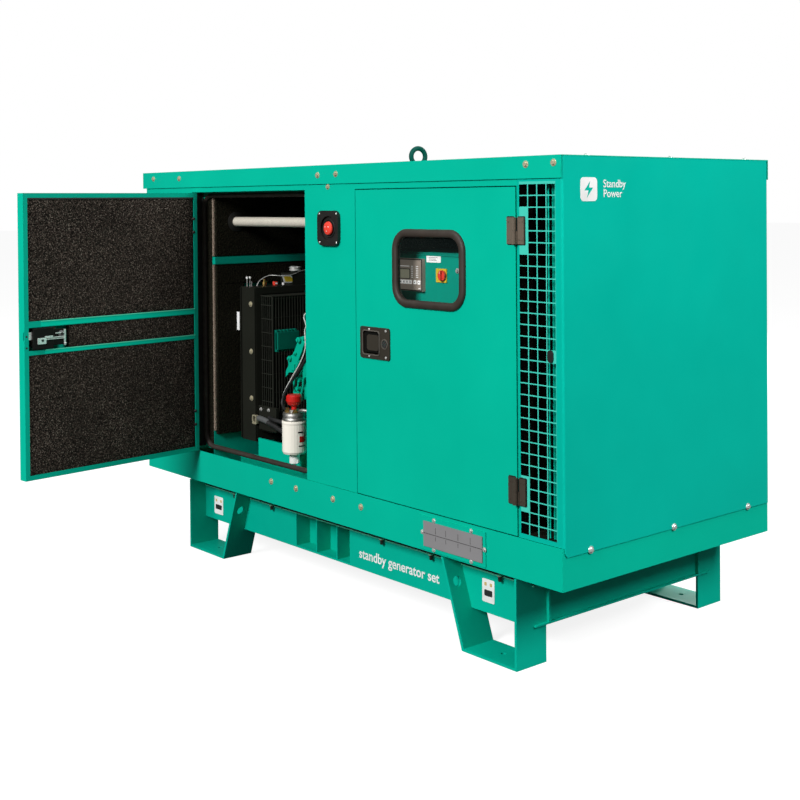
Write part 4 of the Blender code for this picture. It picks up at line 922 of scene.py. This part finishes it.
piece(
    "radiator_cap_ears", "zinc",
    lathe([(0, 16), (13, 15.5), (23.5, 13), (24.5, 10.5), (10, 9.5), (8.5, 0), (0, 0)], (520, 366, 784.2)),
    block((494, 361.5, 796), (546, 370.5, 800.5)), bevel=1, on="radiator_cap_body",
)
piece(
    "radiator_fittings", "brass",
    lathe(
        [(0, 25), (4.5, 25), (4.5, 16.5), (8.5, 15), (8.5, 5), (6, 3), (6, 0), (0, 0)], (500, 235, 730), 12,
    ),
    rod((500, 235, 742), (500, 246, 745), 4.2, segments=10),
)
piece(
    "radiator_small_fittings", "cream_plastic",
    *[lathe([(0, 5), (3.8, 4.2), (4.8, 0), (3.8, -4.2), (0, -5)], (500, y, 764), 14) for y in (157, 170)],
    rod((500, 323, 730), (500, 323, 738.5), 4.8, segments=10),
)
piece(
    "radiator_fitting_stems", "zinc",
    *[rod((500, y, 729.5), (500, y, 761), 1.6, segments=8) for y in (157, 170)],
    rod((500, 178, 729.5), (500, 178, 749), 1.3, segments=8),
)
piece("radiator_connector", "signal_red", block((493, 278, 729.5), (507, 292, 744)), bevel=1.6)
piece("radiator_connector_collar", "white_plastic", block((492, 283, 734), (507.8, 293, 740)), bevel=1.2)
piece(
    "hanging_tag", "label_white",
    sheet([[(293, 741.5), (341, 740), (341, 756), (320, 770), (281, 771)]], "x", 550, 551), bevel=0.3,
)
piece(
    "hanging_tag_mark", "yellow_plastic",
    sheet([[(298, 745), (334, 744), (334, 753), (318, 765), (290, 766)]], "x", 551, 551.5),
)
piece(
    "tag_wire", "zinc",
    hose(
        [
            (500, 200, 731), (505, 212, 752), (520, 245, 770), (552, 284, 768), (554, 330, 772),
            (545, 380, 784), (530, 450, 790), (530, 520, 790),
        ],
        1.2, segments=6,
    ),
)
piece(
    "intake_ribs", "paint_shaded", *[block((690, y, 500), (705, y + 10, 580)) for y in row(150, 16, 6)],
    block((695, 150, 508), (712, 246, 572)), bevel=1,
)
piece("edge_label", "label_white", block((445.5, 145.5, 564), (462, 147.5, 633)))

# ---------------- hoses, cables and small engine parts
piece(
    "coolant_hose_top", "hose_rubber",
    hose([(548, 600, 750), (620, 600, 765), (720, 560, 750), (790, 520, 705), (815, 500, 685)], 21, 6, 16),
)
piece(
    "coolant_hose_bottom", "hose_rubber",
    hose([(560, 250, 215), (690, 245, 205), (760, 290, 240), (792, 370, 300)], 19, 6, 16),
)
piece("guard_foot_box", "paint_black", block((566, 160, 198), (680, 173.5, 288)), bevel=2)
piece("guard_foot_bolts", "zinc", bolt((583, 160, 274.5), 4.5), bolt((633, 160, 276.5), 4.5))
piece(
    "hose_clamp", "zinc_yellow",
    sheet([rounded(545, 572, 218, 252, 3), rounded(550, 567, 223.5, 246.5, 3)], "y", 144, 154.5), bevel=0.6,
)
piece(
    "drain_hose", "grey_plastic",
    hose([(580, 150, 242), (612, 150, 240), (652, 150, 234)], 10, 4, 12, 0.12),
)
piece(
    "loom_low", "hose_rubber",
    hose(
        [(648, 146, 234), (690, 146, 226), (760, 160, 205), (830, 230, 195), (900, 300, 210)], 8.5, 10, 10,
        0.16,
    ),
    hose([(650, 150, 252), (700, 152, 246), (760, 180, 236), (840, 250, 235)], 7.5, 10, 10, 0.16),
)
piece(
    "fuel_lines", "clear_hose",
    hose(
        [
            (762, 140, 308), (751, 140, 318), (749, 140, 335), (768, 142, 370), (811, 145, 424),
            (847, 150, 470), (872, 155, 520), (868, 160, 562), (866, 160, 592), (874, 160, 606),
            (868, 160, 622), (862, 160, 636), (872, 162, 652), (920, 180, 662),
        ],
        2.2, 8, 8,
    ),
)
piece(
    "fuel_line_dark", "hose_rubber",
    hose(
        [
            (846, 118, 300), (800, 124, 300), (765, 132, 312), (757, 138, 335), (774, 145, 372),
            (806, 150, 412), (845, 156, 455), (878, 165, 505),
        ],
        5.8, 8, 10,
    ),
)
# Lever, bracket and pipes of the injection side, painted like the engine.
piece(
    "pump_bracket", "paint_engine",
    sheet(
        [
            [
                (728, 408), (731, 432), (748, 455), (744, 472), (757, 488), (776, 496), (796, 528),
                (812, 556), (835, 566), (866, 572), (866, 548), (846, 540), (832, 512), (802, 466),
                (778, 430), (752, 428),
            ]
        ],
        "y", 170, 178,
    ),
    rod((762, 162, 480), (762, 186, 480), 9.5), rod((822, 160, 552), (822, 190, 552), 11),
    rod((846, 164, 560), (846, 200, 560), 6.5), rod((795, 165, 500), (795, 182, 500), 7.5),
    block((772, 164, 438), (792, 176, 462)), bevel=1.5,
)
piece(
    "pump_bracket_bolts", "paint_engine", bolt((822, 160, 552), 6.2), bolt((762, 162, 480), 5.5),
    bolt((795, 165, 500), 4.8),
)
piece(
    "injector_pipes", "paint_engine",
    hose([(781, 172, 348), (781, 172, 400), (789, 172, 440), (812, 176, 478)], 4, 8, 8),
    hose([(822, 172, 352), (834, 172, 384), (841, 172, 415), (862, 172, 424), (900, 180, 430)], 3.8, 8, 8),
    hose([(806, 172, 350), (803, 172, 376), (812, 172, 412), (828, 174, 440)], 3.6, 8, 8),
    rod((812, 166, 408), (812, 182, 408), 10.5), rod((803, 166, 374), (803, 182, 374), 7.5),
    rod((800, 172, 362), (800, 172, 335), 12.5, segments=6),
)
piece(
    "injection_side_cover", "paint_engine", block((790, 200, 330), (900, 300, 465)),
    rod((795, 215, 520), (930, 215, 560), 18), bevel=6,
)
piece(
    "injection_pump", "paint_engine",
    lathe([(0, 0), (30, 0), (34, 8), (34, 60), (46, 66), (46, 85), (0, 85)], (800, 310, 385), 24, END),
    block((815, 290, 340), (900, 362, 420)), bevel=2,
)
piece(
    "filter_fittings", "brass",
    lathe([(0, 16), (6.5, 16), (6.5, 8), (10, 7), (10, 0), (0, 0)], (868, 80, 307), 6),
    lathe([(0, 13), (6.5, 13), (6.5, 8), (10, 7), (10, 0), (0, 0)], (906, 86, 307), 6),
)
FILTER = (879, 102, 0)
piece(
    "filter_head_rim", "cast_alloy",
    lathe(
        [(40, 278.5), (42.5, 279.5), (42.5, 286), (40.5, 289), (41.2, 301), (38.5, 306), (40, 278.5)],
        FILTER, 40,
    ),
    hose([(905, 100, 306), (925, 98, 318), (950, 110, 318), (990, 150, 312)], 5.2, 6, 10),
)
piece(
    "canister_rim", "canister_paint",
    lathe([(43.6, 266), (44.6, 268), (44.6, 274), (43.6, 276), (43.6, 266)], FILTER, 40),
)


def patch(start, stop, z0, z1):
    """A printed patch that follows the canister's wall; angles are from -y towards +x."""

    def build(shape):
        rows = []
        for step in range(9):
            angle = math.radians(start + (stop - start) * step / 8)
            x, y = FILTER[0] + 44 * math.sin(angle), FILTER[1] - 44 * math.cos(angle)
            rows.append([shape.verts.new((x, y, z0)), shape.verts.new((x, y, z1))])
        for first, second in zip(rows, rows[1:]):
            shape.faces.new((first[0], second[0], second[1], first[1]))

    return build


piece("canister_mark_red", "red_plastic", patch(78, 112, 205, 226))
piece("canister_mark_dark", "label_dark", patch(70, 98, 238, 243))
piece("canister_mark_dark_2", "label_dark", patch(74, 110, 190, 194))

# ---------------- left door latch works
piece(
    "latch_works_body", "latch_dark", block((986, 34, 558), (1062, 44, 630)),
    block((945, 34, 568), (990, 40, 623)), bevel=2, on=LEFT,
)
piece(
    "latch_works_edge", "zinc", block((938, 34, 565), (945, 42, 620)), bolt((941.5, 42, 572), 3, REAR),
    bevel=1, on=LEFT,
)
piece(
    "latch_works_cam", "zinc", sheet([rounded(1016, 1048, 576, 597, 3)], "y", 44, 47.5),
    block((945, 44, 594.5), (1018, 47, 597.2)), block((945, 44, 589.5), (1018, 47, 592.2)),
    block((990, 44, 598), (1020, 46.5, 602)), block((948, 44, 608), (980, 46.5, 611)), bevel=0.8, on=LEFT,
)
piece(
    "latch_works_pivots", "black_rubber", rod((1030, 47, 588), (1030, 49, 588), 4.5),
    rod((955.5, 44, 606), (955.5, 47.5, 606), 5), on=LEFT,
)
piece(
    "latch_works_disc", "grey_plastic",
    lathe([(0, 0), (11, 0), (11, 4), (9, 5.2), (0, 5.2)], (955.5, 40, 606), 24, REAR), on=LEFT,
)
piece(
    "door_edge_notches", "black_rubber",
    *[block((1080, 35.2, z), (1086.8, 36.2, z + 6)) for z in (601, 562.5)], on=LEFT,
)

# ---------------- labels and generic lettering
for prefix, x0, x1, z0, z1 in (("left", 402.5, 462.5, -131.5, -65.5), ("right", 1873, 1924, -124, -56)):
    piece(prefix + "_rail_label", "label_white", sheet([rounded(x0, x1, z0, z1, 4)], "y", 64.8, 65.7))
    middle = z0 + (z1 - z0) * 0.42
    piece(
        prefix + "_rail_label_patch", "label_dark",
        sheet([rounded(x0 + 9, x1 - 9, middle - 10, middle + 8, 3, 2)], "y", 64.3, 65),
    )
    piece(
        prefix + "_rail_label_dots", "amber_print",
        *[
            sheet([rounded(x - 4.8, x + 4.8, z1 - 20, z1 - 10, 3)], "y", 64.3, 65)
            for x in (x0 + 14, x1 - 14)
        ],
    )


def lettering(name, words, at, size, normal, along, weight=0.008):
    """Raised film lettering as a thin text solid; the weight thickens its strokes."""
    curve = bpy.data.curves.new(name, "FONT")
    curve.body = words
    curve.size = size * MM
    curve.extrude = 0.2 * MM
    curve.offset = size * weight * MM
    curve.materials.append(LOOKS["label_white"])
    made = bpy.data.objects.new(name, curve)
    bpy.context.scene.collection.objects.link(made)
    out, right = Vector(normal), Vector(along)
    turn = Matrix((right, out.cross(right), out)).transposed().to_4x4()
    made.matrix_world = Matrix.Translation(PLACE @ Vector(at)) @ turn
    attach(made, BASE)


lettering("rail_words", "standby generator set", (1290, 65.5, -117), 44.5, FRONT, END, 0.016)
lettering("end_words_1", "Standby", (LENGTH + 0.4, 165, 1083), 30, END, REAR)
lettering("end_words_2", "Power", (LENGTH + 0.4, 165, 1056), 30, END, REAR)
piece(
    "end_emblem", "label_white",
    sheet(
        [
            rounded(72, 140, 1045, 1110, 12, 4),
            [(112, 1101), (88, 1074), (104, 1074), (98, 1053), (124, 1082), (108, 1082)],
        ],
        "x", LENGTH, LENGTH + 0.5,
    ),
)

# ---------------- floor, light and camera
scene = bpy.context.scene
n = Nodes("floor_look")
seen = n.add("ShaderNodeLightPath").outputs["Is Camera Ray"]
grain = n.ramp(n.noise(3.0), [(0.3, (0.29, 0.29, 0.29)), (0.7, (0.31, 0.31, 0.31))])
n.colour(n.mix(seen, (0.06, 0.06, 0.06), grain))
n.link(n.spread(seen, 0.0, 0.86, 0.0, 1.0), n.surface.inputs["Emission Strength"])
n.put(Roughness=0.9, Specular_IOR_Level=0.0, Emission_Color=(1.0, 1.0, 1.0, 1.0))
shape = bmesh.new()
bmesh.ops.create_grid(shape, x_segments=1, y_segments=1, size=60)
mesh = bpy.data.meshes.new("floor")
shape.to_mesh(mesh)
shape.free()
mesh.materials.append(LOOKS["floor_look"])
floor = bpy.data.objects.new("floor", mesh)
scene.collection.objects.link(floor)


def area(name, at, target, size, power):
    """A square soft light; its place and target are in the frame's metres."""
    data = bpy.data.lights.new(name, "AREA")
    data.shape = "RECTANGLE"
    data.size = data.size_y = size
    data.energy = power
    made = bpy.data.objects.new(name, data)
    made.location = at
    made.rotation_mode = "QUATERNION"
    made.rotation_quaternion = (Vector(target) - Vector(at)).to_track_quat("-Z", "Y")
    scene.collection.objects.link(made)


area("key", (1.5, -8.9, 5.8), (0.0, 0.0, 0.7), 3.0, 1060)
area("side", (6.0, 0.9, 4.6), (1.1, 0.3, 0.7), 2.6, 375)
area("top", (0.0, 1.0, 5.5), (0.0, 0.3, 0.5), 4.0, 80)
area("back", (-2.5, 7.5, 3.6), (0.0, 0.8, 0.7), 3.0, 330)

# The camera sees a plain white surround; other rays see one that pales with height.
world = bpy.data.worlds.new("studio")
world.use_nodes = True
tree = world.node_tree
sky = tree.nodes["Background"]
sky.inputs["Color"].default_value = (1.0, 1.0, 1.0, 1.0)
path, facing, parts, glow, level_of = (
    tree.nodes.new("ShaderNode" + kind)
    for kind in ("LightPath", "TexCoord", "SeparateXYZ", "MapRange", "MapRange")
)
for key, value in (("From Min", 0.0), ("From Max", 0.9), ("To Min", 0.07), ("To Max", 0.41)):
    glow.inputs[key].default_value = value
level_of.inputs["To Max"].default_value = 1.0
for source, target in (
    (facing.outputs["Generated"], parts.inputs["Vector"]), (parts.outputs["Z"], glow.inputs["Value"]),
    (glow.outputs["Result"], level_of.inputs["To Min"]),
    (path.outputs["Is Camera Ray"], level_of.inputs["Value"]),
    (level_of.outputs["Result"], sky.inputs["Strength"]),
):
    tree.links.new(source, target)
scene.world = world
scene.view_settings.view_transform = "Standard"

YAW, PITCH, ROLL = (math.radians(value) for value in (-49.33, -0.709, -0.434))
forward = Vector((math.sin(YAW) * math.cos(PITCH), math.cos(YAW) * math.cos(PITCH), math.sin(PITCH)))
level = Vector((math.cos(YAW), -math.sin(YAW), 0.0))
upright = level.cross(forward)
right = level * math.cos(ROLL) + upright * math.sin(ROLL)
up = -level * math.sin(ROLL) + upright * math.cos(ROLL)
lens = bpy.data.cameras.new("camera")
lens.sensor_width = 36.0
lens.lens = 57.1
lens.clip_start = 0.05
lens.clip_end = 200.0
camera = bpy.data.objects.new("camera", lens)
scene.collection.objects.link(camera)
turn = Matrix((right, up, -forward)).transposed().to_4x4()
camera.matrix_world = Matrix.Translation(PLACE @ Vector((4555.5, -2500.6, 1045.4))) @ turn
scene.camera = camera
# The lens shift belongs to the camera's own place; anywhere else the lens is centred.
for name, shift in (("shift_x", -0.01504), ("shift_y", -0.22743)):
    driver = lens.driver_add(name).driver
    driver.type = "SCRIPTED"
    reading = driver.variables.new()
    reading.name = "x"
    reading.type = "TRANSFORMS"
    reading.targets[0].id = camera
    reading.targets[0].transform_type = "LOC_X"
    reading.targets[0].transform_space = "WORLD_SPACE"
    driver.expression = f"{shift} if abs(x - {camera.location.x:.5f}) < 0.002 else 0.0"
